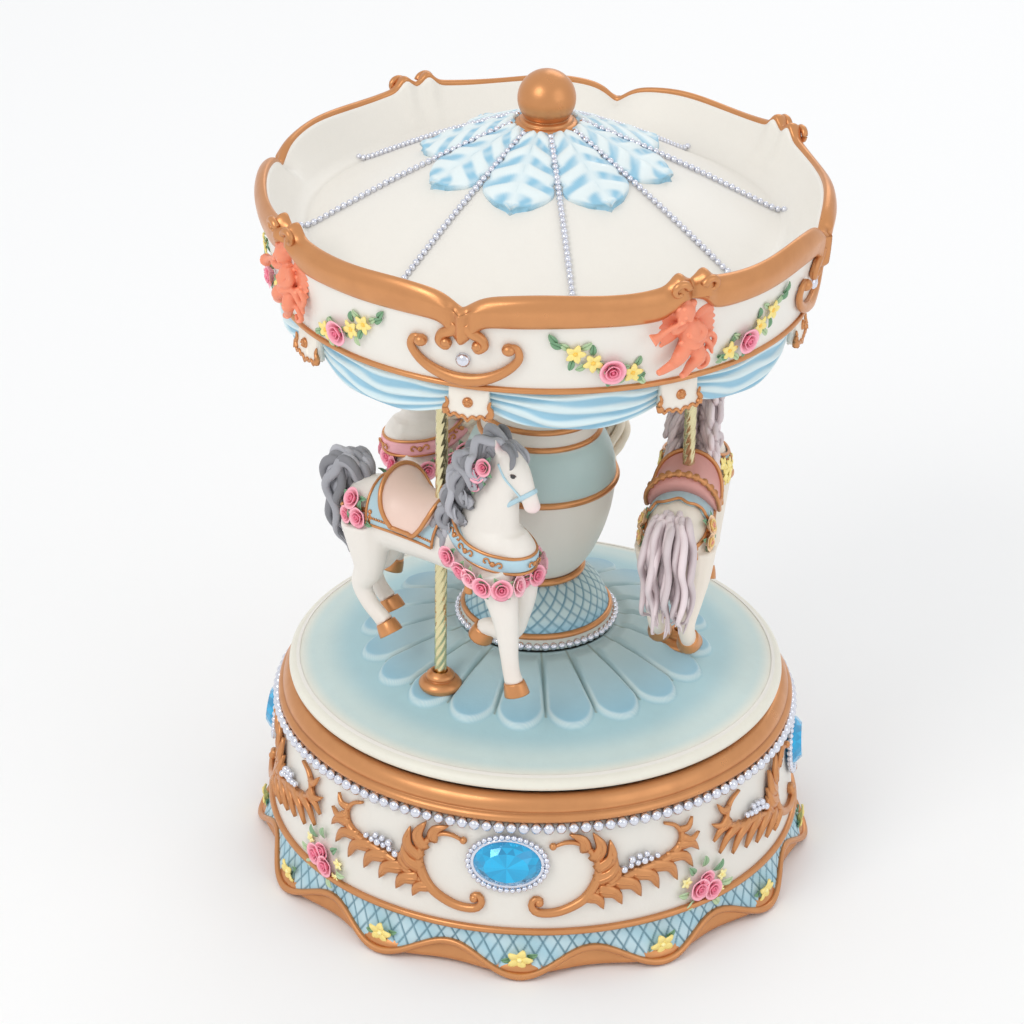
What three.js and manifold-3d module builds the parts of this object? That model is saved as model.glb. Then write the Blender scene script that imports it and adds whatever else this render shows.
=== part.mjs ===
// A carousel music box: a round base with a spring movement, and a turntable that carries three
// sliding horses, a pillar and a canopy. Millimetres, +Z up, origin on the floor under the pillar.
import * as THREE from "three";
import { mergeVertices } from "three/addons/utils/BufferGeometryUtils.js";
import Module from "manifold-3d";

const wasm = await Module();
wasm.setup();

// ---------------------------------------------------------------- driving dimensions
const GAP = 0.3; // between pieces that touch
const FEET_Z = 0;
const SHELL_BOTTOM = 1;
const SHELL_RADIUS = 72.2;
const SKIRT_TOP = 12.6;
const SKIRT_LOBES = 12;
const LOBE_DEPTH = 1.4;
const DECK_BOTTOM = 38;
const DECK_TOP = 40.5;
const RING_BOTTOM = 43.2;
const COVER_TOP = 3.4;
const WELL_TOP = 13;
const WELL_RADIUS = 19;
const GEM_AZIMUTHS = { front: 270, right: 0, back: 90, left: 180 };
const GEM_Z = 32;
const GEM_SEAT_RADIUS = 68.5;
const COVER_SCREWS = [30, 150, 270];
const COVER_SCREW_CIRCLE = 60.5;
const FOOT_AZIMUTHS = [45, 135, 225, 315];
const FOOT_CIRCLE = 52;

const PLATE_BOTTOM = 13.6; // bedplate of the movement
const PLATE_TOP = 15.4;
const CROWN_TEETH = 30;
const CROWN_RADIUS = 13.5;
const PINION_TEETH = 10;
const CYLINDER_RADIUS = 6.5;
const TRAIN_Z = 29.4; // height of the cylinder's axis
const DRIVE_TEETH = 28;
const GOVERNOR_TEETH = 8;
const WORM_WHEEL_TEETH = 20;
const FINE_MODULE = 0.5;
const DRIVE_RADIUS = (DRIVE_TEETH * FINE_MODULE) / 2;
const GOVERNOR_RADIUS = (GOVERNOR_TEETH * FINE_MODULE) / 2;
const WORM_WHEEL_RADIUS = (WORM_WHEEL_TEETH * FINE_MODULE) / 2;
const WORM_RADIUS = 1.5;
const GOVERNOR_X = -(DRIVE_RADIUS + GOVERNOR_RADIUS);
const WORM_X = GOVERNOR_X - WORM_WHEEL_RADIUS - WORM_RADIUS;
const CYLINDER_START = 17.5;
const CYLINDER_END = 36;
const DRIVE_Y = 38;
const WORM_Y = 43;
const COMB_TEETH = 18;
const COMB_SCREW_X = 16.5;
const COMB_SCREW_YS = [21, 32.5];
const MOVEMENT_SCREWS = [[-18, -15], [18, -15], [18, 44]];
const HOUSING_BOTTOM = PLATE_TOP + GAP;

const POLE_CIRCLE = 38.5;
const POLE_RADIUS = 1.6;
const POLE_AZIMUTHS = [236, 116, 356];
const POLE_TOP = 172;
const CAM_CREST = 47.1;
const CAM_WAVES = 2;
const CAM_AZIMUTH = 213.5; // azimuth of one crest
const LIFT = 3; // half the stroke of a horse
const PLATFORM_RADIUS = 65;
const PILLAR_FOOT_RADIUS = 21;
const COLLAR_BOTTOM = 60;
const VASE_TOP = 126;
const CANOPY_JOINTS = 4;
const CANOPY_JOINT_AZIMUTH = 304.5; // azimuth of one raised joint of the canopy rim
const CANOPY_WAVE = 1.6;
const CANOPY_BOTTOM = 152;
const ROOF_PEAK = 204;
const FINIAL_RADIUS = 7.2;
const FINIAL_Z = 210.3; // centre of the ball
const HORSE_FORELEG_BENT = [true, false, true];

// ---------------------------------------------------------------- materials
const finish = (color, roughness, metalness = 0) =>
  new THREE.MeshStandardMaterial({ color, roughness, metalness });
const WHITE_RESIN = finish(0xe4e0d8, 0.6);
const PALE_BLUE = finish(0xa9cbd6, 0.6);
const GOLD_PAINT = finish(0xc27f4a, 0.35, 0.6);
const HORSE_WHITE = finish(0xebe4da, 0.55);
const POLE_BRASS = finish(0xd7cda0, 0.25, 0.9);
const BRASS = finish(0xb8944a, 0.3, 1);
const STEEL = finish(0xb4b6ba, 0.3, 1);
const ZINC = finish(0x9a9c9e, 0.45, 0.9);
const GEM_BLUE = finish(0x00a5eb, 0.1);
const RUBBER = finish(0x2a2a2a, 0.9);
const NYLON = finish(0xe8e6dc, 0.5);
const COVER_FELT = finish(0x35303a, 0.9);

// ---------------------------------------------------------------- solids
const rad = THREE.MathUtils.degToRad;
const sum = (values) => values.reduce((a, b) => a + b, 0);

function welded(geometry) {
  const plain = geometry.index ? geometry.toNonIndexed() : geometry.clone();
  for (const name of Object.keys(plain.attributes)) {
    if (name !== "position") plain.deleteAttribute(name);
  }
  return mergeVertices(plain, 1e-4);
}

function toSolid(geometry) {
  const merged = welded(geometry);
  const vertProperties = new Float32Array(merged.attributes.position.array);
  const corner = (i) => new THREE.Vector3().fromArray(vertProperties, 3 * i);
  const index = merged.index.array;
  const triangles = [];
  for (let i = 0; i < index.length; i += 3) {
    const [a, b, c] = [index[i], index[i + 1], index[i + 2]];
    if (a !== b && b !== c && c !== a) triangles.push([a, b, c]);
  }
  const volume = sum(triangles.map(([a, b, c]) => corner(a).dot(corner(b).cross(corner(c)))));
  const ordered = volume < 0 ? triangles.map(([a, b, c]) => [a, c, b]) : triangles;
  return new wasm.Manifold(new wasm.Mesh({ numProp: 3, vertProperties,
    triVerts: new Uint32Array(ordered.flat()) }));
}

function toGeometry(solid) {
  const mesh = solid.getMesh();
  const geometry = new THREE.BufferGeometry();
  geometry.setAttribute("position", new THREE.BufferAttribute(new Float32Array(mesh.vertProperties), 3));
  geometry.setIndex(Array.from(mesh.triVerts));
  geometry.computeVertexNormals();
  return geometry;
}

const join = (...pieces) => toGeometry(pieces.map(toSolid).reduce((a, b) => a.add(b)));
const cut = (piece, ...tools) =>
  toGeometry(tools.map(toSolid).reduce((a, b) => a.subtract(b), toSolid(piece)));

// A solid of revolution about Z from its closed [radius, height] outline.
function turned(outline, segments = 48) {
  const points = outline.map(([r, z]) => new THREE.Vector2(r, z));
  return new THREE.LatheGeometry([...points, points[0]], segments).rotateX(Math.PI / 2);
}

// A ring whose closed [radius, height] section is worked out for each azimuth in degrees.
function sweptRing(segments, section) {
  const loops = Array.from({ length: segments }, (_, i) => {
    const azimuth = (360 * i) / segments;
    const [c, s] = [Math.cos(rad(azimuth)), Math.sin(rad(azimuth))];
    return section(azimuth).map(([r, z]) => [r * c, r * s, z]);
  });
  return skinned(loops, true);
}

// Joins loops of equal length into a closed skin: round on itself, or with flat ends.
function skinned(loops, closed) {
  const size = loops[0].length;
  const positions = loops.flat(2);
  const index = [];
  const steps = closed ? loops.length : loops.length - 1;
  for (let i = 0; i < steps; i++) {
    for (let j = 0; j < size; j++) {
      const [a, b] = [i * size + j, i * size + ((j + 1) % size)];
      const [c, d] = [((i + 1) % loops.length) * size + j,
        ((i + 1) % loops.length) * size + ((j + 1) % size)];
      index.push(a, b, c, b, d, c);
    }
  }
  if (!closed) {
    const last = (loops.length - 1) * size;
    for (let j = 1; j < size - 1; j++) {
      index.push(0, j + 1, j, last, last + j, last + j + 1);
    }
  }
  const geometry = new THREE.BufferGeometry();
  geometry.setAttribute("position", new THREE.BufferAttribute(new Float32Array(positions), 3));
  geometry.setIndex(index);
  return geometry;
}

// A round-ended limb through [x, y, z, radius] points; flat narrows it sideways.
function limb(points, sides = 8, flat = 1) {
  const centres = points.map(([x, y, z]) => new THREE.Vector3(x, y, z));
  const side = new THREE.Vector3(0, 1, 0);
  const loops = points.map(([, , , radius], i) => {
    const along = centres[Math.min(i + 1, centres.length - 1)].clone()
      .sub(centres[Math.max(i - 1, 0)]).normalize();
    const across = new THREE.Vector3().crossVectors(side, along).normalize();
    return Array.from({ length: sides }, (_, k) => {
      const turn = (2 * Math.PI * (k + 0.5)) / sides;
      const point = centres[i].clone().addScaledVector(across, radius * Math.cos(turn));
      return point.addScaledVector(side, flat * radius * Math.sin(turn)).toArray();
    });
  });
  return skinned(loops, false);
}

const block = (x, y, z) => new THREE.BoxGeometry(x, y, z);
const rod = (radius, height, segments = 16) =>
  new THREE.CylinderGeometry(radius, radius, height, segments).rotateX(Math.PI / 2);
const rodBetween = (radius, z0, z1, segments = 16) =>
  rod(radius, z1 - z0, segments).translate(0, 0, (z0 + z1) / 2);
const alongY = (geometry) => geometry.rotateX(Math.PI / 2);

function outlineShape(points) {
  return new THREE.Shape(points.map(([x, y]) => new THREE.Vector2(x, y)));
}

function plate(points, thickness) {
  return new THREE.ExtrudeGeometry(outlineShape(points), { depth: thickness, bevelEnabled: false });
}

// A spur gear about Z, centred on z = 0, with a tooth (or a gap) on +X.
function spurGear(teeth, pitchRadius, thickness, boreRadius, toothOnX = true) {
  const size = (2 * pitchRadius) / teeth;
  const [tip, root] = [pitchRadius + 0.7 * size, pitchRadius - 1.05 * size];
  const pitch = (2 * Math.PI) / teeth;
  const shift = toothOnX ? 0 : pitch / 2;
  const points = [];
  for (let i = 0; i < teeth; i++) {
    for (const [part, radius] of [[-0.26, root], [-0.1, tip], [0.1, tip], [0.26, root]]) {
      const turn = i * pitch + shift + part * pitch;
      points.push([radius * Math.cos(turn), radius * Math.sin(turn)]);
    }
  }
  const shape = outlineShape(points);
  if (boreRadius) shape.holes.push(new THREE.Path().absarc(0, 0, boreRadius, 0, 2 * Math.PI, true));
  const depth = { depth: thickness, bevelEnabled: false, curveSegments: 6 };
  return new THREE.ExtrudeGeometry(shape, depth).translate(0, 0, -thickness / 2);
}

// ---------------------------------------------------------------- assembly
const model = new THREE.Group();
model.name = "carousel_music_box";

function add(name, geometry, material, { x = 0, y = 0, z = 0, turn = 0 } = {}, parent = model) {
  const closed = toGeometry(toSolid(geometry));
  const mesh = new THREE.Mesh(closed, material);
  mesh.name = name;
  mesh.position.set(x, y, z);
  mesh.rotation.z = rad(turn);
  parent.add(mesh);
  return mesh;
}

const polar = (radius, azimuth, z = 0) => ({
  x: radius * Math.cos(rad(azimuth)),
  y: radius * Math.sin(rad(azimuth)),
  z,
  turn: azimuth,
});

function screw(name, headRadius, shankRadius, length, place) {
  const head = turned([[0, 0], [headRadius, 0], [headRadius, 0.7], [headRadius * 0.7, 1.2], [0, 1.2]], 10);
  const slot = block(headRadius * 2.4, 0.5, 0.8).translate(0, 0, 1.2);
  const geometry = join(cut(head, slot), rodBetween(shankRadius, -length, 0.2, 8));
  if (place.below) geometry.rotateX(Math.PI);
  add(name, geometry, STEEL, place);
}

// ---------------------------------------------------------------- base
function atCoverScrews(radius, z0, z1, segments) {
  return COVER_SCREWS.map((azimuth) => {
    const { x, y } = polar(COVER_SCREW_CIRCLE, azimuth);
    return rodBetween(radius, z0, z1, segments).translate(x, y, 0);
  });
}

function baseShell() {
  const lobe = (azimuth) => LOBE_DEPTH * Math.cos(rad(SKIRT_LOBES * (azimuth - GEM_AZIMUTHS.front)));
  const shell = sweptRing(48, (azimuth) => [
    [6.3, DECK_BOTTOM],
    [6.3, DECK_TOP],
    [57, DECK_TOP],
    [57.6, 46.2],
    [60.4, 46.2],
    [60.8, RING_BOTTOM - GAP],
    [66.9, RING_BOTTOM - GAP],
    [69.7, SKIRT_TOP],
    [71.2 + 0.6 * lobe(azimuth), 5],
    [SHELL_RADIUS + lobe(azimuth), SHELL_BOTTOM],
    [67, SHELL_BOTTOM],
    [65.6, 12],
    [63.6, DECK_BOTTOM],
  ]);
  const posts = atCoverScrews(4.2, COVER_TOP + GAP, DECK_BOTTOM + 1, 12);
  const pilots = atCoverScrews(1.5, 0, 12, 8);
  return cut(join(shell, ...posts), ...pilots);
}

function topRing() {
  return turned([
    [61, RING_BOTTOM], [67.2, RING_BOTTOM], [68.1, 44.8], [66.8, 47.4], [65.8, 49.6], [63, 49.8], [61, 48.4],
  ], 44);
}

function bottomCover() {
  const dish = turned([
    [3.6, WELL_TOP - 1.6], [3.6, WELL_TOP], [WELL_RADIUS, WELL_TOP], [WELL_RADIUS, COVER_TOP],
    [65.2, COVER_TOP],
    [65.2, COVER_TOP - 1.8], [WELL_RADIUS - 1.6, COVER_TOP - 1.8], [WELL_RADIUS - 1.6, WELL_TOP - 1.6],
  ], 30);
  return cut(dish, ...atCoverScrews(1.5, 0, 6, 8));
}

function addBase() {
  add("base_shell", baseShell(), WHITE_RESIN);
  add("base_top_ring", topRing(), GOLD_PAINT);
  add("bottom_cover", bottomCover(), COVER_FELT);
  for (const [i, azimuth] of COVER_SCREWS.entries()) {
    const place = polar(COVER_SCREW_CIRCLE, azimuth, COVER_TOP - 1.8 - GAP);
    const geometry = join(
      turned([[0, -1.2], [2, -1.2], [2.4, -0.6], [2.4, 0], [0, 0]], 10),
      rodBetween(1.2, -0.2, 8, 8),
    );
    add(`cover_screw_${i + 1}`, geometry, STEEL, place);
  }
  for (const [i, azimuth] of FOOT_AZIMUTHS.entries()) {
    const pad = turned([[0, FEET_Z], [4, FEET_Z], [4.5, 0.4], [4.5, 1.3], [0, 1.3]], 16);
    add(`rubber_foot_${i + 1}`, pad, RUBBER, polar(FOOT_CIRCLE, azimuth));
  }
  for (const [side, azimuth] of Object.entries(GEM_AZIMUTHS)) {
    add(`gem_${side}`, ovalGem(), GEM_BLUE, polar(GEM_SEAT_RADIUS, azimuth, GEM_Z));
  }
}

// An oval cut stone, 18 wide and 13 high, that faces +X and leans back with the wall.
function ovalGem() {
  const lean = rad(4.5);
  const wall = PLATFORM_RADIUS + 3;
  const ring = (width, height, out) =>
    Array.from({ length: 16 }, (_, i) => {
      const turn = (2 * Math.PI * i) / 16;
      const [y, z] = [(width / 2) * Math.cos(turn), (height / 2) * Math.sin(turn)];
      const back = wall - Math.sqrt(wall ** 2 - y * y);
      return [out - back * 0.6 - z * Math.tan(lean), y, z];
    });
  return skinned([ring(17.4, 12.4, 0.5), ring(18, 13, 1.3), ring(12.5, 8.4, 3.4)], false);
}

// ---------------------------------------------------------------- movement
function bedplate() {
  const outline = [[-21, -18], [21, -18], [21, 47], [-21, 47]];
  const holes = MOVEMENT_SCREWS.map(([x, y]) => rodBetween(1.4, 0, 30, 8).translate(x, y, 0));
  return cut(plate(outline, PLATE_TOP - PLATE_BOTTOM).translate(0, 0, PLATE_BOTTOM),
    rodBetween(3.4, 0, 30), ...holes);
}

// A standing bracket that bears a shaft lying along Y.
function bearing(x, y, thickness, width, boreRadius) {
  const top = TRAIN_Z + boreRadius + 1.4;
  const upright = block(width, thickness, top - PLATE_TOP - GAP).translate(x, y, (top + PLATE_TOP + GAP) / 2);
  return cut(upright, alongY(rod(boreRadius, 9, 12)).translate(x, y, TRAIN_Z));
}

function combPlate() {
  const [near, far, back] = [CYLINDER_START + 0.6, CYLINDER_END - 0.6, 19.5];
  const pitch = (far - near) / COMB_TEETH;
  const points = [[back, near - 1.5]];
  for (let i = 0; i < COMB_TEETH; i++) {
    const y = near + i * pitch;
    points.push([11.5, y + 0.12 * pitch], [CYLINDER_RADIUS + 0.9, y + 0.25 * pitch]);
    points.push([CYLINDER_RADIUS + 0.9, y + 0.75 * pitch], [11.5, y + 0.88 * pitch]);
  }
  points.push([back, far + 1.5]);
  const blank = plate(points, 1.1).translate(0, 0, TRAIN_Z);
  return cut(blank, ...COMB_SCREW_YS.map((y) => rodBetween(1.3, 0, 60, 8).translate(COMB_SCREW_X, y, 0)));
}

function crownWheel() {
  const face = TRAIN_Z - (PINION_TEETH * CROWN_RADIUS) / CROWN_TEETH; // pitch plane of the upright teeth
  const web = turned([[1.9, face - 2.6], [1.9, face - 0.9], [14.6, face - 0.9], [14.6, face - 2.6]], 45);
  const size = (2 * CROWN_RADIUS) / CROWN_TEETH;
  const pitch = Math.PI * size;
  const profile = [
    [-0.26 * pitch, -1.05], [0.26 * pitch, -1.05], [0.1 * pitch, 0.62 * size], [-0.1 * pitch, 0.62 * size],
  ];
  const teeth = Array.from({ length: CROWN_TEETH }, (_, i) => {
    const tooth = plate(profile, 1.8).rotateX(Math.PI / 2).translate(0, 14.4, face);
    return tooth.rotateZ((2 * Math.PI * i) / CROWN_TEETH);
  });
  return join(web, ...teeth);
}

function musicCylinder() {
  const tube = turned([
    [0.9, 0], [CYLINDER_RADIUS, 0], [CYLINDER_RADIUS, CYLINDER_END - CYLINDER_START],
    [0.9, CYLINDER_END - CYLINDER_START],
  ], 32);
  return tube.rotateX(-Math.PI / 2).translate(0, CYLINDER_START, TRAIN_Z);
}

function gearAlongY(gear, x, y) {
  return gear.rotateX(Math.PI / 2).translate(x, y, TRAIN_Z);
}

// A threaded worm about Z: the crest climbs one pitch in each right-handed turn.
function wormThread() {
  const pitch = Math.PI * FINE_MODULE;
  const [bottom, top, steps, sides] = [-2.4, 2.4, 20, 10];
  const radiusAt = (turn, z) => {
    const phase = (((z / pitch - turn / (2 * Math.PI)) % 1) + 1) % 1;
    const fromCrest = Math.min(phase, 1 - phase);
    const crest = THREE.MathUtils.clamp((0.32 - fromCrest) / 0.2, 0, 1);
    return WORM_RADIUS - 0.5 + 0.85 * crest;
  };
  const loops = Array.from({ length: steps + 1 }, (_, i) => {
    const z = bottom + ((top - bottom) * i) / steps;
    return Array.from({ length: sides }, (_, k) => {
      const turn = (2 * Math.PI * k) / sides;
      const radius = radiusAt(turn, z);
      return [radius * Math.cos(turn), radius * Math.sin(turn), z];
    });
  });
  return skinned(loops, false);
}

function fly() {
  const shaft = rodBetween(0.6, PLATE_TOP + 1.2, TRAIN_Z + 6.4, 8);
  const vane = block(8.4, 0.5, 6).translate(0, 0, PLATE_TOP + 5.4);
  return join(wormThread().translate(0, 0, TRAIN_Z), shaft, vane,
    rodBetween(1.2, PLATE_TOP + 8, PLATE_TOP + 9.4, 10));
}

function governorBracket() {
  const foot = block(6, 3, 1.6).translate(WORM_X, WORM_Y + 7, PLATE_TOP + GAP + 0.8);
  const back = block(6, 1.4, 23).translate(WORM_X, WORM_Y + 7, PLATE_TOP + GAP + 9.7);
  const arm = block(5, 8.6, 1.2).translate(WORM_X, WORM_Y + 3.4, TRAIN_Z + 6.6);
  const sill = block(5, 8.6, 1.2).translate(WORM_X, WORM_Y + 3.4, PLATE_TOP + GAP + 0.6);
  const bore = rodBetween(0.9, PLATE_TOP + 1, 50, 8).translate(WORM_X, WORM_Y, 0);
  const cheek = rodBetween(0.9, PLATE_TOP - 1, PLATE_TOP + 1.5, 8).translate(WORM_X, WORM_Y, 0);
  return cut(join(foot, back.translate(0, 0, 0.5), arm, sill), bore, cheek);
}

function windingKey() {
  const wing = (side) => {
    const circle = new THREE.Shape().absarc(side * 8.6, 0, 4.6, 0, 2 * Math.PI);
    circle.holes.push(new THREE.Path().absarc(side * 9, 0, 2.2, 0, 2 * Math.PI, true));
    return new THREE.ExtrudeGeometry(circle, { depth: 1.4, bevelEnabled: false, curveSegments: 10 });
  };
  const blades = [-1, 1].map((side) =>
    wing(side).translate(0, 0, -0.7).rotateX(Math.PI / 2).translate(0, 0, 6.4));
  const hub = rodBetween(2.6, 3.2, 10.6, 14);
  const bridge = block(9, 1.4, 3.6).translate(0, 0, 6.4);
  return join(hub, bridge, rodBetween(1.4, 10, 17.6, 10), ...blades);
}

function springHousing() {
  const [floor, rim] = [HOUSING_BOTTOM + 0.8, HOUSING_BOTTOM + 5.4];
  return turned([[3.4, HOUSING_BOTTOM], [14, HOUSING_BOTTOM], [14, rim], [13.2, rim], [13.2, floor],
    [3.4, floor]], 28);
}

// A flat coil of spring strip that lies in the housing, wound from the stem outwards.
function mainspring() {
  const [turns, steps, inner, outer, strip] = [3.5, 14, 3.2, 12.4, 0.8];
  const at = (i, offset) => {
    const turn = (2 * Math.PI * i) / steps;
    const radius = inner + ((outer - inner) * i) / (turns * steps) + offset;
    return [radius * Math.cos(turn), radius * Math.sin(turn)];
  };
  const count = Array.from({ length: turns * steps + 1 }, (_, i) => i);
  const points = [...count.map((i) => at(i, 0)), ...count.reverse().map((i) => at(i, strip))];
  return plate(points, 4).translate(0, 0, HOUSING_BOTTOM + 0.8 + GAP);
}

function camTrack() {
  return sweptRing(48, (azimuth) => {
    const wave = Math.cos(rad(CAM_WAVES * (azimuth - CAM_AZIMUTH)));
    const top = CAM_CREST - LIFT + LIFT * wave;
    return [[35.5, DECK_TOP + GAP], [35.5, top], [41.5, top], [41.5, DECK_TOP + GAP]];
  });
}

function addMovement() {
  add("bedplate", bedplate(), ZINC);
  for (const [i, [x, y]] of MOVEMENT_SCREWS.entries()) {
    screw(`movement_screw_${i + 1}`, 2.3, 1.1, 1.9, { x, y, z: PLATE_TOP + GAP });
  }
  add("spring_housing", springHousing(), ZINC);
  add("mainspring", mainspring(), STEEL);
  add("cam_track", camTrack(), NYLON);
  add("spindle_bush",
    turned([[3.4, 37.2], [3.4, 41.6], [8.4, 41.6], [8.4, 40.8], [6, 40.8], [6, 37.2]], 16), BRASS);
  add("cylinder_bearing_near", bearing(0, 16.6, 1, 7, 1.1), ZINC);
  add("cylinder_bearing_far", bearing(0, 40.4, 1.2, 7, 1.1), ZINC);
  add("governor_bearing", bearing(GOVERNOR_X, 45.2, 1, 4, 0.9), ZINC);
  add("governor_bracket", governorBracket(), ZINC);
  const heel = block(7, CYLINDER_END - CYLINDER_START + 1, TRAIN_Z - PLATE_TOP - 2 * GAP);
  heel.translate(COMB_SCREW_X, (CYLINDER_START + CYLINDER_END) / 2, (TRAIN_Z + PLATE_TOP) / 2);
  const sockets = COMB_SCREW_YS.map((y) =>
    rodBetween(1.3, TRAIN_Z - 6, TRAIN_Z + 1, 8).translate(COMB_SCREW_X, y, 0));
  add("comb_heel", cut(heel, ...sockets), ZINC);
  add("comb", combPlate(), STEEL);
  for (const [i, y] of COMB_SCREW_YS.entries()) {
    screw(`comb_screw_${i + 1}`, 2, 1, 4.5, { x: COMB_SCREW_X, y, z: TRAIN_Z + 1.1 + GAP });
  }

  add("music_cylinder", musicCylinder(), BRASS);
  const pinion = spurGear(PINION_TEETH, (PINION_TEETH * CROWN_RADIUS) / CROWN_TEETH, 3.4, 0.9);
  pinion.rotateZ(Math.PI / 2 + Math.PI / PINION_TEETH);
  add("cylinder_pinion", gearAlongY(pinion, 0, 13.5), BRASS);
  const boss = cut(rod(2, 1.6, 12), rod(0.9, 3, 12));
  const hub = alongY(boss).translate(0, 37.1, TRAIN_Z);
  const drive = gearAlongY(spurGear(DRIVE_TEETH, DRIVE_RADIUS, 1.4, 0.9), 0, DRIVE_Y + 0.4);
  add("cylinder_gear", join(drive, hub), BRASS);
  add("cylinder_arbor", arborAlongY(), STEEL);

  const shaft = alongY(rod(0.7, 11, 8)).translate(GOVERNOR_X, 41.2, TRAIN_Z);
  const small = gearAlongY(spurGear(GOVERNOR_TEETH, GOVERNOR_RADIUS, 2.2, 0, false), GOVERNOR_X,
    DRIVE_Y + 0.4);
  const wheel = gearAlongY(spurGear(WORM_WHEEL_TEETH, WORM_WHEEL_RADIUS, 1.4, 0, false), GOVERNOR_X, WORM_Y);
  add("governor_wheel", join(shaft, small, wheel), BRASS);
  add("fly_governor", fly(), STEEL, { x: WORM_X, y: WORM_Y });

  add("winding_key", windingKey(), ZINC);
}

// The arbor shows only as its two bearing ends; its middle is inside the cylinder.
function arborAlongY() {
  return alongY(rod(0.6, 33, 8)).translate(0, 26, TRAIN_Z);
}

// ---------------------------------------------------------------- turntable
function platform() {
  const disc = turned([
    [4.4, 61], [4.4, 65.6], [PILLAR_FOOT_RADIUS, 65.6], [30, 62.9], [47, 57.6], [62, 54.4], [64.4, 53.4],
    [PLATFORM_RADIUS, 52], [62, 50.2], [47, 53.6], [30, 58.9], [21, 61],
  ], 40);
  const seats = POLE_AZIMUTHS.map((azimuth) => {
    const { x, y } = polar(POLE_CIRCLE, azimuth);
    return rodBetween(5.5 + GAP, COLLAR_BOTTOM - GAP, 70, 16).translate(x, y, 0);
  });
  return cut(disc, ...seats, ...POLE_AZIMUTHS.map((azimuth) => poleBore(azimuth, POLE_RADIUS + 0.9)));
}

function poleBore(azimuth, radius) {
  const { x, y } = polar(POLE_CIRCLE, azimuth);
  return rodBetween(radius, 30, 190, 12).translate(x, y, 0);
}

function poleCollar() {
  return turned([
    [2.1, 0], [5.2, 0], [5.5, 1.4], [4.8, 3], [3.9, 4.6], [3.2, 5.4], [2.1, 5.4],
  ], 16);
}

function pillarFoot() {
  return turned([
    [4.4, 65.9], [20.6, 65.9], [20.9, 67.6], [19.2, 70], [17.6, 75], [14.4, 78.6], [12, 79.6], [12.2, 81],
    [4.4, 81],
  ], 28);
}

function pillarVase() {
  return turned([
    [4.4, 81.3], [11.4, 81.3], [15, 87], [17.8, 94], [19.4, 101], [20, 107], [19.6, 112], [18, 117],
    [15.6, 121],
    [15.2, VASE_TOP], [13.6, VASE_TOP + 4], [13, 163], [4.4, 163],
  ], 28);
}

function canopy() {
  return sweptRing(40, (azimuth) => {
    const wave = CANOPY_WAVE * Math.cos(rad(CANOPY_JOINTS * (azimuth - CANOPY_JOINT_AZIMUTH)));
    return [
      [3.4, ROOF_PEAK - 4.5], [3.4, ROOF_PEAK], [7, ROOF_PEAK], [32, 191], [58.6, 177.8],
      [68, 183.4 + wave], [69.6, 187 + wave], [72, 186.4 + wave], [70, 181 + wave],
      [67.6, 172], [66.8, 163], [65.4, 157], [64, CANOPY_BOTTOM], [61.4, CANOPY_BOTTOM + 1],
      [61.4, 166.6], [57, 174.2], [32, 187], [8, 199.5],
    ];
  });
}

function ceiling() {
  const disc = turned([[14, 163.6], [14, 165.6], [61, 165.6], [61, 163.6]], 36);
  return cut(disc, ...POLE_AZIMUTHS.map((azimuth) => poleBore(azimuth, POLE_RADIUS + 0.5)));
}

function finial() {
  const [steps, start] = [8, rad(-36)];
  const ball = Array.from({ length: steps }, (_, i) => {
    const turn = start + ((Math.PI / 2 - start) * i) / steps;
    return [FINIAL_RADIUS * Math.cos(turn), FINIAL_Z + FINIAL_RADIUS * Math.sin(turn)];
  });
  const seat = [[0, 203], [2.9, 203], [2.9, ROOF_PEAK + GAP], [6.8, ROOF_PEAK + GAP], [6.9, 205.3]];
  return turned([...seat, ...ball, [0, FINIAL_Z + FINIAL_RADIUS]], 18);
}

function spindle() {
  const shaft = [[0, 18], [1.5, 18], [1.5, 28], [3, 28], [3, 58.6]];
  const flange = [[10, 58.6], [10, 60.7], [3, 60.7], [3, 62], [1.5, 62], [1.5, 70], [0, 70]];
  return turned([...shaft, ...flange], 12);
}

function addTurntable() {
  add("platform", platform(), PALE_BLUE);
  for (const [i, azimuth] of POLE_AZIMUTHS.entries()) {
    add(`pole_collar_${i + 1}`, poleCollar(), GOLD_PAINT, polar(POLE_CIRCLE, azimuth, COLLAR_BOTTOM));
  }
  add("pillar_foot", pillarFoot(), PALE_BLUE);
  add("pillar_vase", pillarVase(), WHITE_RESIN);
  add("canopy_ceiling", ceiling(), WHITE_RESIN);
  add("canopy", canopy(), WHITE_RESIN);
  add("finial", finial(), GOLD_PAINT);
  add("crown_wheel", crownWheel(), BRASS);
  add("spindle", spindle(), STEEL);
  add("tie_rod", rodBetween(1.5, 70.3, 202.6, 10), STEEL);
  add("tie_washer", turned([[1.9, 166], [9, 166], [9, 167.2], [1.9, 167.2]], 14), STEEL);
  add("tie_nut", turned([[1.9, 167.5], [3.6, 167.5], [3.6, 170.2], [1.9, 170.2]], 6), STEEL);
}

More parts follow.
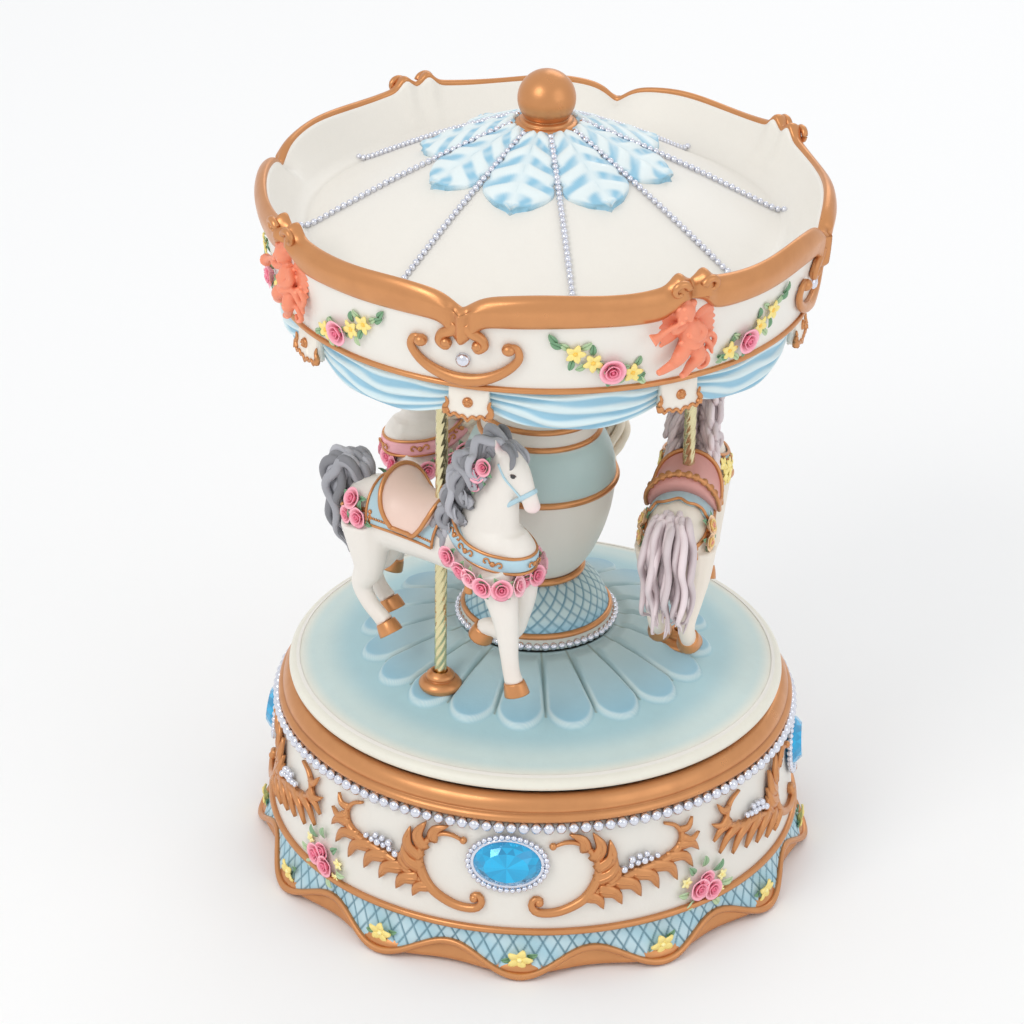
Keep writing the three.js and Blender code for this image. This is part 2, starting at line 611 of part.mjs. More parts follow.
// ---------------------------------------------------------------- horses
// A horse that faces +X with its pole on Z; heights are from the floor at the middle of the stroke.
function horse({ bentForeleg }) {
  const torso = limb([
    [-26, 0, 101, 3], [-23, 0, 101, 8], [-15, 0, 102, 9.4], [-5, 0, 101, 8.8], [6, 0, 100, 9],
    [16, 0, 101, 9.8],
    [22, 0, 102, 7.6], [25, 0, 102, 3],
  ], 7, 0.82);
  const neck = limb([[12, 0, 102, 9], [15, 0, 112, 7.6], [17.5, 0, 121, 6], [19, 0, 129, 4.6]], 6, 0.7);
  const head = limb([[15, 0, 132, 3], [19, 0, 131, 4.8], [24, 0, 126, 4.2], [30, 0, 117, 2]], 6, 0.72);
  const mane = limb([[7, 0, 106, 3], [7, 0, 114, 5], [10, 0, 123, 5.4], [14, 0, 131, 4.4],
    [18, 0, 135, 2]], 6, 0.8);
  const ear = (side) => limb([[17, side * 2, 131, 1.6], [17.6, side * 2.6, 137, 0.4]], 5);
  const straightForeleg = [
    [19, -4.5, 97, 5], [22, -4.6, 86, 3.2], [24, -4.6, 78, 2.1], [25.6, -4.6, 71, 2.4],
    [26.4, -4.6, 67.6, 2.8],
  ];
  const bentLeg = [
    [19, 4.5, 96, 4.8], [22, 4.6, 84, 3.2], [19.5, 4.6, 79.4, 2.6], [12, 4.6, 77.4, 1.9],
    [8.6, 4.6, 76.6, 2.4],
  ];
  const secondForeleg = bentForeleg ? bentLeg
    : straightForeleg.map(([x, y, z, r]) => [x + 1.6, -y, z + 3, r]);
  const hindLeg = (side, forward, lift) => limb([
    [-19, side * 4.4, 97, 6.4], [-21 + forward / 2, side * 4.6, 87 + lift, 4],
    [-22.6 + forward, side * 4.8, 82 + lift, 2.4], [-15.4 + forward, side * 4.8, 72 + lift, 2.2],
    [-12.6 + forward, side * 4.8, 68.6 + lift, 2.8],
  ], 6);
  const tail = limb([
    [-22, 0, 106, 2.6], [-26, 0, 113, 4], [-31, 0, 113, 5], [-33, 0, 105, 5], [-31, 0, 97, 4],
    [-28.6, 0, 90, 1.6],
  ], 6, 0.8);
  const saddle = limb([
    [-13, 0, 112.4, 3.4], [-11, 0, 110, 5.4], [-2, 0, 108.4, 4.2], [6, 0, 109.8, 4.6], [8, 0, 112, 2.6],
  ], 6, 1.2);
  const body = join(
    torso, neck, head, mane, ear(-1), ear(1), limb(straightForeleg, 6), limb(secondForeleg, 6),
    hindLeg(-1, 0, 1.6), hindLeg(1, 3, 0), tail, saddle,
  );
  return cut(body, rodBetween(POLE_RADIUS + GAP, 60, 160, 12));
}

function addHorses() {
  const lowestFoot = CAM_CREST + 0.4;
  for (const [i, azimuth] of POLE_AZIMUTHS.entries()) {
    const lift = LIFT * Math.cos(rad(CAM_WAVES * (azimuth - CAM_AZIMUTH)));
    const group = new THREE.Group();
    const { x, y } = polar(POLE_CIRCLE, azimuth);
    group.position.set(x, y, lift);
    group.rotation.z = rad(azimuth + 90);
    model.add(group);
    add(`pole_${i + 1}`, rodBetween(POLE_RADIUS, lowestFoot + LIFT + 2.3, POLE_TOP, 12), POLE_BRASS, {},
      group);
    const foot = turned([[0, 0], [2.4, 0.5], [2.8, 1.4], [2, 2], [0, 2]], 14);
    add(`pole_foot_${i + 1}`, foot, NYLON, { z: lowestFoot + LIFT }, group);
    add(`horse_${i + 1}`, horse({ bentForeleg: HORSE_FORELEG_BENT[i] }), HORSE_WHITE, {}, group);
  }
}

addBase();
addMovement();
addTurntable();
addHorses();

export default model;
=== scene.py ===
"""The looks of a carousel music box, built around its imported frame. Helpers work in millimetres."""
import math

import bmesh
import bpy
import numpy as np
from mathutils import Matrix, Vector
from mathutils.bvhtree import BVHTree


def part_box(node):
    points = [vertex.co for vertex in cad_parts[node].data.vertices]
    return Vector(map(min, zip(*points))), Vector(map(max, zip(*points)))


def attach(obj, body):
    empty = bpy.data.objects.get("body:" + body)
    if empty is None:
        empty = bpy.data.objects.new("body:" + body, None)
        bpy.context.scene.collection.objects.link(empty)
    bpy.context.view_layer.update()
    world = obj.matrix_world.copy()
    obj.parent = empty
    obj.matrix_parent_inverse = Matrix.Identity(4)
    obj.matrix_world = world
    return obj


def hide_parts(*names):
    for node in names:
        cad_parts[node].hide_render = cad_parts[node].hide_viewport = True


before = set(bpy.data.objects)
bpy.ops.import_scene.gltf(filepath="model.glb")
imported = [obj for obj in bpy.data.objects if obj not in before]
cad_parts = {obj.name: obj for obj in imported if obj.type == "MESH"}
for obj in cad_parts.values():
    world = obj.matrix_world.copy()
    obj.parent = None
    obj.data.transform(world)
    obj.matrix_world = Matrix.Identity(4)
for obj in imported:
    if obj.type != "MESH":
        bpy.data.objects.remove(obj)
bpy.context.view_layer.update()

MM = 0.001
TAU = 2 * math.pi


def limits(node):
    """Lowest and highest corner of a frame node, in millimetres."""
    low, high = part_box(node)
    return np.array(low) / MM, np.array(high) / MM


def top(node):
    return limits(node)[1][2]


def bottom(node):
    return limits(node)[0][2]


def reach(node):
    """Largest radius of a round node about the turning axis."""
    return float(limits(node)[1][0])


def azimuth_of(node):
    low, high = limits(node)
    middle = (low + high) / 2
    return math.degrees(math.atan2(middle[1], middle[0]))


# ---------------- sizes that the pieces share
WALL_TOP = bottom("base_top_ring")
WALL_TOP_RADIUS = 67.0
SKIRT_TOP = 12.6
SKIRT_TOP_RADIUS = 69.7
SKIRT_LOBES = 12
SKIRT_PHASE = 273.0
GEM_Z = float(sum(limits("gem_front")[i][2] for i in (0, 1)) / 2)
GEM_AZIMUTHS = [azimuth_of(f"gem_{side}") for side in ("front", "right", "back", "left")]
ROSE_AZIMUTHS = [225, 315, 45, 135]
PLATFORM_RADIUS = reach("platform")
PETALS = 20
ARC_RADIUS = 70  # turns millimetres along the wall or the rim into degrees
PANEL_STEP = 45
PANEL_AZIMUTHS = [260 + PANEL_STEP * k for k in range(8)]
RIM_FOLDS = [259.5 + 90 * k for k in range(4)]
RIM_CRESTS = [304.5 + 90 * k for k in range(4)]
ROOF_EDGE_RADIUS, ROOF_EDGE_Z = 59.0, 177.8
HORSES = (1, 2, 3)


# ---------------- colours
def paint(red, green, blue):
    """A paint colour from its 0-255 display values."""
    levels = np.array([red, green, blue]) / 255
    return np.where(levels <= 0.04045, levels / 12.92, ((levels + 0.055) / 1.055) ** 2.4)


CREAM = paint(232, 228, 220)
IVORY = paint(238, 233, 222)
SKY = paint(170, 208, 222)
TEAL = paint(88, 130, 148)
GOLD = paint(204, 130, 70)
ROSE = paint(244, 158, 178)
ROSE_PALE = paint(250, 195, 205)
ROSE_DEEP = paint(226, 110, 140)
LEAF = paint(110, 150, 115)
LEAF_PALE = paint(175, 195, 155)
YELLOW = paint(240, 220, 136)
YELLOW_PALE = paint(245, 235, 170)
CORAL = paint(240, 144, 110)
WHITE_COAT = paint(236, 230, 222)
GREY_MANE = paint(158, 158, 164)
CREAM_MANE = paint(226, 214, 196)
LILAC_MANE = paint(214, 200, 202)
SADDLE_PINK = paint(238, 208, 194)
SADDLE_ROSE = paint(220, 158, 150)


def mix(a, b, amount):
    amount = np.asarray(amount, float)[..., None]
    return a * (1 - amount) + b * amount


# ---------------- shapes: (points, quads, triangles)
def surface(grid, wrap_u=False, wrap_v=False):
    """Quads over an (nu, nv, 3) grid of points, round on itself where told."""
    nu, nv = grid.shape[:2]
    i = np.arange(nu if wrap_u else nu - 1)[:, None]
    j = np.arange(nv if wrap_v else nv - 1)[None, :]
    a, b = i * nv + j, ((i + 1) % nu) * nv + j
    c, d = ((i + 1) % nu) * nv + (j + 1) % nv, i * nv + (j + 1) % nv
    quads = np.stack([a, b, c, d], -1).reshape(-1, 4)
    return grid.reshape(-1, 3), quads, np.zeros((0, 3), int)


def capped(grid):
    """A tube of rings with a fan over each end."""
    points, quads, _ = surface(grid, False, True)
    count, size = grid.shape[:2]
    ends = np.array([grid[0].mean(0), grid[-1].mean(0)])
    k = np.arange(size)
    first = np.stack([np.full(size, count * size), k, (k + 1) % size], -1)
    base = (count - 1) * size
    last = np.stack([np.full(size, count * size + 1), base + (k + 1) % size, base + k], -1)
    return np.vstack([points, ends]), quads, np.vstack([first, last])


def along(path):
    """Unit tangents of a path."""
    steps = np.gradient(path, axis=0)
    return steps / np.maximum(np.linalg.norm(steps, axis=1, keepdims=True), 1e-9)


def outward_of(line):
    """Level unit vectors away from the turning axis, one for each point of a line."""
    out = line * np.array([1, 1, 0])
    return out / np.linalg.norm(out, axis=1, keepdims=True)


def about_axis(radius, turn, z, centre=(0, 0)):
    """Points from a radius, an angle in radians and a height about an upright axis."""
    return np.stack(np.broadcast_arrays(centre[0] + radius * np.cos(turn),
                                        centre[1] + radius * np.sin(turn), z), -1)


def ribbon(path, width, thickness, facing=(0, 0, 1), sides=10):
    """A closed flattened tube along a path; facing says which way its flat side looks."""
    path = np.asarray(path, float)
    count = len(path)
    tangent = along(path)
    facing = np.broadcast_to(np.asarray(facing, float), path.shape)
    across = np.cross(tangent, facing)
    across /= np.maximum(np.linalg.norm(across, axis=1, keepdims=True), 1e-9)
    up = np.cross(across, tangent)
    width = np.broadcast_to(np.asarray(width, float), count)[:, None, None]
    thickness = np.broadcast_to(np.asarray(thickness, float), count)[:, None, None]
    turn = (TAU * np.arange(sides) / sides)[None, :, None]
    rings = path[:, None] + across[:, None] * width * np.cos(turn) + up[:, None] * thickness * np.sin(turn)
    return capped(rings)


def rope(path, radius, sides=10):
    return ribbon(path, radius, radius, (0.13, 0.21, 1), sides)


def ball(radius, centre=(0, 0, 0), rings=8, segments=12):
    lift = np.pi * np.linspace(0.02, 0.98, rings) - np.pi / 2
    turn = TAU * np.arange(segments) / segments
    radius = np.broadcast_to(np.asarray(radius, float), 3)
    grid = about_axis(np.cos(lift)[:, None], turn, np.sin(lift)[:, None])
    return capped(grid * radius + np.asarray(centre, float))


def smooth_line(points, count, closed=False):
    """Evenly spread points on a Catmull-Rom curve through the given ones."""
    points = np.asarray(points, float)
    if closed:
        padded = np.vstack([points[-1:], points, points[:2]])
    else:
        padded = np.vstack([2 * points[:1] - points[1:2], points, 2 * points[-1:] - points[-2:-1]])
    pieces = []
    for p0, p1, p2, p3 in zip(padded, padded[1:], padded[2:], padded[3:]):
        t = np.linspace(0, 1, 24, endpoint=False)[:, None]
        pieces.append(0.5 * (2 * p1 + (p2 - p0) * t + (2 * p0 - 5 * p1 + 4 * p2 - p3) * t**2
                             + (3 * p1 - p0 - 3 * p2 + p3) * t**3))
    line = np.vstack(pieces + ([] if closed else [points[-1:]]))
    if closed:
        line = np.vstack([line, line[:1]])
    length = np.concatenate([[0], np.cumsum(np.linalg.norm(np.diff(line, axis=0), axis=1))])
    wanted = np.linspace(0, length[-1], count, endpoint=not closed)
    return np.stack([np.interp(wanted, length, line[:, k]) for k in range(points.shape[1])], -1)


def revolve(outline, steps, shift=None):
    """A closed ring solid from a closed [radius, height] outline; shift(azimuth, outline) bends each one."""
    outline = np.asarray(outline, float)
    turns = 360 * np.arange(steps) / steps
    sections = np.stack([shift(a, outline) if shift else outline for a in turns])
    grid = about_axis(sections[..., 0], np.radians(turns)[:, None], sections[..., 1])
    return surface(grid, True, True)


def placed(points, matrix):
    return points @ matrix[:3, :3].T + matrix[:3, 3]


def moved(shape, matrix):
    points, quads, triangles = shape
    return placed(points, matrix), quads, triangles


def basis(origin, x, y, z):
    """A placement matrix from its axes."""
    matrix = np.eye(4)
    for k, axis in enumerate((x, y, z)):
        matrix[:3, k] = axis
    matrix[:3, 3] = origin
    return matrix


def new_object(name, data):
    made = bpy.data.objects.new(name, data)
    bpy.context.collection.objects.link(made)
    return made


class Form:
    """A mesh in the making, with a paint colour at each point."""

    def __init__(self):
        self.points, self.quads, self.triangles, self.colours, self.count = [], [], [], [], 0

    def add(self, shape, colour=CREAM, matrix=None):
        points, quads, triangles = moved(shape, matrix) if matrix is not None else shape
        self.points.append(points)
        self.quads.append(np.asarray(quads).reshape(-1, 4) + self.count)
        self.triangles.append(np.asarray(triangles, int).reshape(-1, 3) + self.count)
        self.colours.append(np.broadcast_to(colour(points) if callable(colour) else colour, points.shape))
        self.count += len(points)
        return self

    def build(self, name, material):
        points = np.vstack(self.points) * MM
        quads, triangles = np.vstack(self.quads), np.vstack(self.triangles)
        mesh = bpy.data.meshes.new(name)
        mesh.vertices.add(len(points))
        mesh.vertices.foreach_set("co", points.ravel().astype(np.float32))
        corners = np.concatenate([quads.ravel(), triangles.ravel()])
        sizes = np.concatenate([np.full(len(quads), 4), np.full(len(triangles), 3)])
        mesh.loops.add(len(corners))
        mesh.loops.foreach_set("vertex_index", corners.astype(np.int32))
        mesh.polygons.add(len(sizes))
        starts = np.concatenate([[0], np.cumsum(sizes)[:-1]])
        mesh.polygons.foreach_set("loop_start", starts.astype(np.int32))
        mesh.update(calc_edges=True)
        mesh.validate()
        colours = np.ones((len(points), 4), np.float32)
        colours[:, :3] = np.vstack(self.colours)
        layer = mesh.color_attributes.new("paint", "FLOAT_COLOR", "POINT")
        layer.data.foreach_set("color", colours.ravel())
        face_outwards(mesh)
        mesh.shade_smooth()
        mesh.materials.append(material)
        return new_object(name, mesh)


def face_outwards(mesh):
    work = bmesh.new()
    work.from_mesh(mesh)
    bmesh.ops.recalc_face_normals(work, faces=work.faces)
    work.to_mesh(mesh)
    work.free()


def finished_mesh(piece):
    """A plain mesh of what a piece's modifiers make of it."""
    bpy.context.view_layer.update()
    graph = bpy.context.evaluated_depsgraph_get()
    return bpy.data.meshes.new_from_object(piece.evaluated_get(graph), depsgraph=graph)


def settle(piece, body, slot, *nodes):
    """Puts a piece on its body and hides the frame nodes that it stands for; slot is not used."""
    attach(piece, body)
    if nodes:
        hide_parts(*nodes)
    return piece


# ---------------- shader groups and finishes
COLOUR_SOCKET, NUMBER_SOCKET = "NodeSocketColor", "NodeSocketFloat"


def new_group(name, inputs):
    """A finish group: named inputs with their usual values; a colour, a roughness and a height come out."""
    group = bpy.data.node_groups.new(name, "ShaderNodeTree")
    for label, value in inputs.items():
        kind = COLOUR_SOCKET if isinstance(value, tuple) else NUMBER_SOCKET
        group.interface.new_socket(label, in_out="INPUT", socket_type=kind).default_value = value
    for label, kind in (("Colour", COLOUR_SOCKET), ("Roughness", NUMBER_SOCKET), ("Height", NUMBER_SOCKET)):
        group.interface.new_socket(label, in_out="OUTPUT", socket_type=kind)
    return group, group.nodes.new("NodeGroupInput"), group.nodes.new("NodeGroupOutput")


def node(tree, kind, **values):
    made = tree.nodes.new(kind)
    for key, value in values.items():
        if hasattr(made, key):
            setattr(made, key, value)
        else:
            made.inputs[key.replace("_", " ")].default_value = value
    return made


def feed(tree, sockets, values):
    """Sets each socket to a number or a colour, or links it to an output."""
    for socket, value in zip(sockets, values):
        if isinstance(value, bpy.types.NodeSocket):
            tree.links.new(value, socket)
        else:
            socket.default_value = value


def maths(tree, operation, a, b):
    made = node(tree, "ShaderNodeMath", operation=operation)
    feed(tree, made.inputs, (a, b))
    return made.outputs[0]


def blend_colours(tree, amount, a, b):
    made = node(tree, "ShaderNodeMix", data_type="RGBA")
    feed(tree, (made.inputs[0], made.inputs[6], made.inputs[7]), (amount, a, b))
    return made.outputs[2]


def fade(tree, value, start, end):
    """0 to 1 as a value goes from start to end."""
    made = tree.nodes.new("ShaderNodeMapRange")
    feed(tree, (made.inputs["Value"], made.inputs["From Min"], made.inputs["From Max"]), (value, start, end))
    return made.outputs[0]


def object_noise(tree, scale, detail=3.0):
    place = tree.nodes.new("ShaderNodeTexCoord")
    noise = node(tree, "ShaderNodeTexNoise", Scale=scale, Detail=detail, Roughness=0.55)
    tree.links.new(place.outputs["Object"], noise.inputs["Vector"])
    return noise.outputs["Fac"]


def brushed_paint_group():
    """Hand-brushed paint on cast resin: mottled, darker in hollows with a pigment wash and painted shade,
    lighter on raised edges as a painted highlight, finely grained.
    """
    group, inlet, outlet = new_group(
        "brushed_paint",
        {"Paint": (0.8, 0.8, 0.8, 1), "Shade Wash": (0.4, 0.3, 0.25, 1), "Shade Wash Amount": 0.3, "Mottle": 0.06,
         "Edge Highlight": 0.1, "Roughness": 0.5},
    )
    link = group.links.new
    broad = object_noise(group, 90.0)
    streak = object_noise(group, 420.0, 4.0)
    grain = object_noise(group, 2600.0, 2.0)
    point = group.nodes.new("ShaderNodeNewGeometry").outputs["Pointiness"]
    # painted shade: hollows, found by pointiness, darken towards the shade wash colour, partly as a pigment
    # wash
    spread = maths(group, "MULTIPLY", fade(group, point, 0.485, 0.41), inlet.outputs["Shade Wash Amount"])
    shade_washed = blend_colours(group, spread, inlet.outputs["Paint"], inlet.outputs["Shade Wash"])
    uneven = maths(group, "ADD", maths(group, "MULTIPLY", broad, 0.6), maths(group, "MULTIPLY", streak, 0.4))
    tone = maths(group, "MULTIPLY", maths(group, "SUBTRACT", uneven, 0.5), inlet.outputs["Mottle"])
    bright = group.nodes.new("ShaderNodeHueSaturation")
    link(shade_washed, bright.inputs["Color"])
    # painted highlight: raised edges, found by pointiness, are made lighter
    edge_highlight = maths(group, "MULTIPLY", fade(group, point, 0.52, 0.62), inlet.outputs["Edge Highlight"])
    link(maths(group, "ADD", maths(group, "ADD", tone, edge_highlight), 1.0), bright.inputs["Value"])
    link(bright.outputs["Color"], outlet.inputs["Colour"])
    rough = maths(group, "ADD", inlet.outputs["Roughness"],
                  maths(group, "MULTIPLY", maths(group, "SUBTRACT", streak, 0.5), 0.25))
    link(rough, outlet.inputs["Roughness"])
    height = maths(group, "ADD", maths(group, "MULTIPLY", streak, 0.7), maths(group, "MULTIPLY", grain, 0.3))
    link(height, outlet.inputs["Height"])
    return group


def rubbed_metal_group():
    """Metal with cloudy tarnish, darker in its hollows as tarnish with painted shade, fine scratches and
    uneven polish.
    """
    group, inlet, outlet = new_group(
        "rubbed_metal",
        {"Metal": (0.7, 0.5, 0.3, 1), "Tarnish And Shade": (0.3, 0.15, 0.06, 1), "Tarnish And Shade Amount": 0.5,
         "Roughness": 0.3, "Scratch": 0.2},
    )
    link = group.links.new
    cloud = object_noise(group, 160.0, 4.0)
    fine = object_noise(group, 1500.0, 3.0)
    point = group.nodes.new("ShaderNodeNewGeometry").outputs["Pointiness"]
    cloudy = maths(group, "MULTIPLY", maths(group, "SUBTRACT", cloud, 0.35), 0.5)
    # painted shade: hollows, found by pointiness, darken towards the tarnish colour, added to the cloudy
    # tarnish
    amount = maths(group, "ADD", fade(group, point, 0.5, 0.4), cloudy)
    amount.node.use_clamp = True
    spread = maths(group, "MULTIPLY", amount, inlet.outputs["Tarnish And Shade Amount"])
    link(blend_colours(group, spread, inlet.outputs["Metal"], inlet.outputs["Tarnish And Shade"]),
         outlet.inputs["Colour"])
    uneven = maths(group, "MULTIPLY", maths(group, "SUBTRACT", cloud, 0.5), 0.3)
    link(maths(group, "ADD", inlet.outputs["Roughness"], uneven), outlet.inputs["Roughness"])
    link(maths(group, "MULTIPLY", fine, inlet.outputs["Scratch"]), outlet.inputs["Height"])
    return group


BRUSHED_PAINT = brushed_paint_group()
RUBBED_METAL = rubbed_metal_group()


def finish_material(name, group, values, metallic=0.0, coat=0.0, bump=0.02, painted=True):
    """A Principled surface fed by a finish group; painted surfaces read the paint attribute."""
    material = bpy.data.materials.new(name)
    material.use_nodes = True
    tree = material.node_tree
    shader = tree.nodes["Principled BSDF"]
    finish = tree.nodes.new("ShaderNodeGroup")
    finish.node_tree = group
    for label, value in values.items():
        finish.inputs[label].default_value = value
    if painted:
        colour = node(tree, "ShaderNodeAttribute", attribute_name="paint")
        tree.links.new(colour.outputs["Color"], finish.inputs["Paint"])
    shader.inputs["Metallic"].default_value = metallic
    shader.inputs["Coat Weight"].default_value = coat
    shader.inputs["Coat Roughness"].default_value = 0.25
    tree.links.new(finish.outputs["Colour"], shader.inputs["Base Color"])
    tree.links.new(finish.outputs["Roughness"], shader.inputs["Roughness"])
    relief = node(tree, "ShaderNodeBump", Strength=bump, Distance=0.0004)
    tree.links.new(finish.outputs["Height"], relief.inputs["Height"])
    tree.links.new(relief.outputs["Normal"], shader.inputs["Normal"])
    return material


def rgba(colour):
    return (*[float(c) for c in colour], 1.0)


def painted_resin(name, shade_wash, shade_wash_amount, roughness, coat, mottle, edge=0.12):
    values = {"Shade Wash": rgba(shade_wash), "Shade Wash Amount": shade_wash_amount, "Roughness": roughness, "Mottle": mottle,
              "Edge Highlight": edge}
    return finish_material(name, BRUSHED_PAINT, values, coat=coat, bump=0.25)


def metal(name, colour, tarnish_and_shade, roughness, amount, metallic=1.0, coat=0.0):
    values = {"Metal": rgba(colour), "Tarnish And Shade": rgba(tarnish_and_shade), "Tarnish And Shade Amount": amount,
              "Roughness": roughness, "Scratch": 0.3}
    return finish_material(name, RUBBED_METAL, values, metallic, coat, 0.15, painted=False)


def gem_material():
    """Foil-backed cut acrylic: each facet has its own tone of painted reflection, under a clear gloss, with
    a faint painted glow.
    """
    material = finish_material("cut_blue_gem", BRUSHED_PAINT,
                               {"Shade Wash Amount": 0.0, "Roughness": 0.04, "Mottle": 0.05},
                               metallic=0.35, coat=1.0, bump=0.0)
    shader = material.node_tree.nodes["Principled BSDF"]
    shader.inputs["Coat Roughness"].default_value = 0.03
    # painted glow: the facet tones are also given out as a faint emission
    shader.inputs["Emission Strength"].default_value = 0.12
    colour = material.node_tree.nodes["Attribute"]
    material.node_tree.links.new(colour.outputs["Color"], shader.inputs["Emission Color"])
    return material


# the second value of each painted resin is the colour its hollows darken to: a pigment wash with painted
# shade
CREAM_RESIN = painted_resin("cream_resin", paint(190, 178, 160), 0.35, 0.42, 0.2, 0.05)
SKY_RESIN = painted_resin("sky_wash_resin", paint(105, 160, 182), 0.5, 0.5, 0.12, 0.14)
LATTICE_RESIN = painted_resin("lattice_resin", paint(82, 122, 140), 0.6, 0.5, 0.1, 0.12)
FLOWER_PAINT = painted_resin("flower_paint", paint(205, 90, 120), 0.4, 0.5, 0.1, 0.16, 0.25)
BLOSSOM_PAINT = painted_resin("blossom_paint", paint(190, 150, 60), 0.4, 0.5, 0.1, 0.16, 0.2)
LEAF_PAINT = painted_resin("leaf_paint", paint(52, 84, 62), 0.6, 0.55, 0.05, 0.3, 0.3)
CORAL_RESIN = painted_resin("coral_resin", paint(196, 66, 34), 0.9, 0.45, 0.15, 0.12, 0.35)
HORSE_RESIN = painted_resin("horse_resin", paint(205, 178, 158), 0.45, 0.42, 0.2, 0.06)
MANE_RESIN = painted_resin("mane_resin", paint(98, 94, 98), 0.6, 0.5, 0.1, 0.2, 0.3)
# the third value of each metal is the colour its hollows darken to: tarnish with painted shade
GILT = metal("gilt_paint", paint(212, 148, 96), paint(118, 66, 34), 0.33, 0.6, 0.72, 0.1)
SILVER = metal("silver_bead", paint(226, 228, 238), paint(120, 124, 140), 0.2, 0.35, 0.9, 0.3)
POLE_METAL = metal("pole_twist", paint(226, 216, 172), paint(112, 100, 56), 0.22, 0.6)
BRASS_METAL = metal("movement_brass", paint(212, 178, 104), paint(120, 84, 40), 0.28, 0.35)
STEEL_METAL = metal("movement_steel", paint(196, 198, 202), paint(90, 92, 98), 0.28, 0.3)
ZINC_METAL = metal("movement_zinc", paint(168, 170, 172), paint(96, 98, 100), 0.45, 0.4)
GEM = gem_material()


def plain_finish(name, colour, shade_wash, roughness, mottle, bump):
    values = {"Paint": rgba(colour), "Shade Wash": rgba(shade_wash), "Roughness": roughness, "Mottle": mottle,
              "Shade Wash Amount": 0.3}
    return finish_material(name, BRUSHED_PAINT, values, bump=bump, painted=False)


# the third value of each plain finish is the colour its hollows darken to: painted shade
FELT = plain_finish("cover_felt", paint(70, 62, 74), paint(30, 26, 32), 0.95, 0.5, 1.0)
RUBBER = plain_finish("foot_rubber", paint(38, 38, 40), paint(18, 18, 18), 0.85, 0.2, 0.6)
NYLON = plain_finish("moulded_nylon", paint(228, 225, 212), paint(170, 160, 140), 0.5, 0.05, 0.2)
PLAIN_CREAM = plain_finish("plain_cream_resin", paint(230, 226, 216), paint(180, 170, 150), 0.5, 0.05, 0.2)
EYE_PAINT = painted_resin("eye_paint", paint(20, 16, 18), 0.2, 0.18, 0.8, 0.02, 0.0)


# ---------------- strings of beads
def bead_tree(name, material):
    """Beads strung along a polyline: even spacing, a little uneven in size."""
    tree = bpy.data.node_groups.new(name, "GeometryNodeTree")
    face = tree.interface
    face.new_socket("Line", in_out="INPUT", socket_type="NodeSocketGeometry")
    for label, value in (("Radius", 0.0016), ("Spacing", 0.0032)):
        face.new_socket(label, in_out="INPUT", socket_type="NodeSocketFloat").default_value = value
    face.new_socket("Beads", in_out="OUTPUT", socket_type="NodeSocketGeometry")
    inlet, outlet = tree.nodes.new("NodeGroupInput"), tree.nodes.new("NodeGroupOutput")
    link = tree.links.new
    curve = tree.nodes.new("GeometryNodeMeshToCurve")
    spread = tree.nodes.new("GeometryNodeResampleCurve")
    spread.mode = "LENGTH"
    bead = tree.nodes.new("GeometryNodeMeshUVSphere")
    bead.inputs["Segments"].default_value = 12
    bead.inputs["Rings"].default_value = 8
    place = tree.nodes.new("GeometryNodeInstanceOnPoints")
    size = tree.nodes.new("FunctionNodeRandomValue")
    size.data_type = "FLOAT"
    size.inputs[2].default_value, size.inputs[3].default_value = 0.93, 1.06
    size.inputs["Seed"].default_value = 3
    real = tree.nodes.new("GeometryNodeRealizeInstances")
    shade = tree.nodes.new("GeometryNodeSetShadeSmooth")
    finish = tree.nodes.new("GeometryNodeSetMaterial")
    finish.inputs["Material"].default_value = material
    link(inlet.outputs["Line"], curve.inputs["Mesh"])
    link(curve.outputs["Curve"], spread.inputs["Curve"])
    link(inlet.outputs["Spacing"], spread.inputs["Length"])
    link(spread.outputs["Curve"], place.inputs["Points"])
    link(inlet.outputs["Radius"], bead.inputs["Radius"])
    link(bead.outputs["Mesh"], place.inputs["Instance"])
    link(size.outputs[1], place.inputs["Scale"])
    link(place.outputs["Instances"], real.inputs["Geometry"])
    link(real.outputs["Geometry"], shade.inputs["Geometry"])
    link(shade.outputs["Geometry"], finish.inputs["Geometry"])
    link(finish.outputs["Geometry"], outlet.inputs["Beads"])
    return tree


def grown(name, mesh, tree, values, material):
    """Runs a geometry tree on a mesh and keeps the result as a plain piece."""
    source = new_object(name, mesh)
    modifier = source.modifiers.new("grow", "NODES")
    modifier.node_group = tree
    for item in tree.interface.items_tree:
        if item.item_type == "SOCKET" and item.in_out == "INPUT" and item.name in values:
            modifier[item.identifier] = values[item.name]
    result = finished_mesh(source)
    bpy.data.objects.remove(source)
    result.name = name
    if not result.materials:
        result.materials.append(material)
    return new_object(name, result)


def line_mesh(name, lines):
    """Polylines, in millimetres, as one mesh of edges. A line that is a loop repeats its first point."""
    mesh = bpy.data.meshes.new(name)
    points, edges, count = [], [], 0
    for line in lines:
        closed = np.linalg.norm(line[0] - line[-1]) < 1e-6
        kept = line[:-1] if closed else line
        points += [tuple(p * MM) for p in kept]
        edges += [(count + k, count + k + 1) for k in range(len(kept) - 1)]
        if closed:
            edges.append((count + len(kept) - 1, count))
        count += len(kept)
    mesh.from_pydata(points, edges, [])
    return mesh


SILVER_BEADS = bead_tree("silver_beads", SILVER)


def beads(name, lines, radius, spacing, body):
    values = {"Radius": radius * MM, "Spacing": spacing * MM}
    piece = grown(name, line_mesh(name, lines), SILVER_BEADS, values, SILVER)
    return settle(piece, body, "white_resin")


def ring_line(radius, z, count=240):
    turn = np.radians(np.linspace(0, 360, count + 1))
    return about_axis(radius, turn, z)


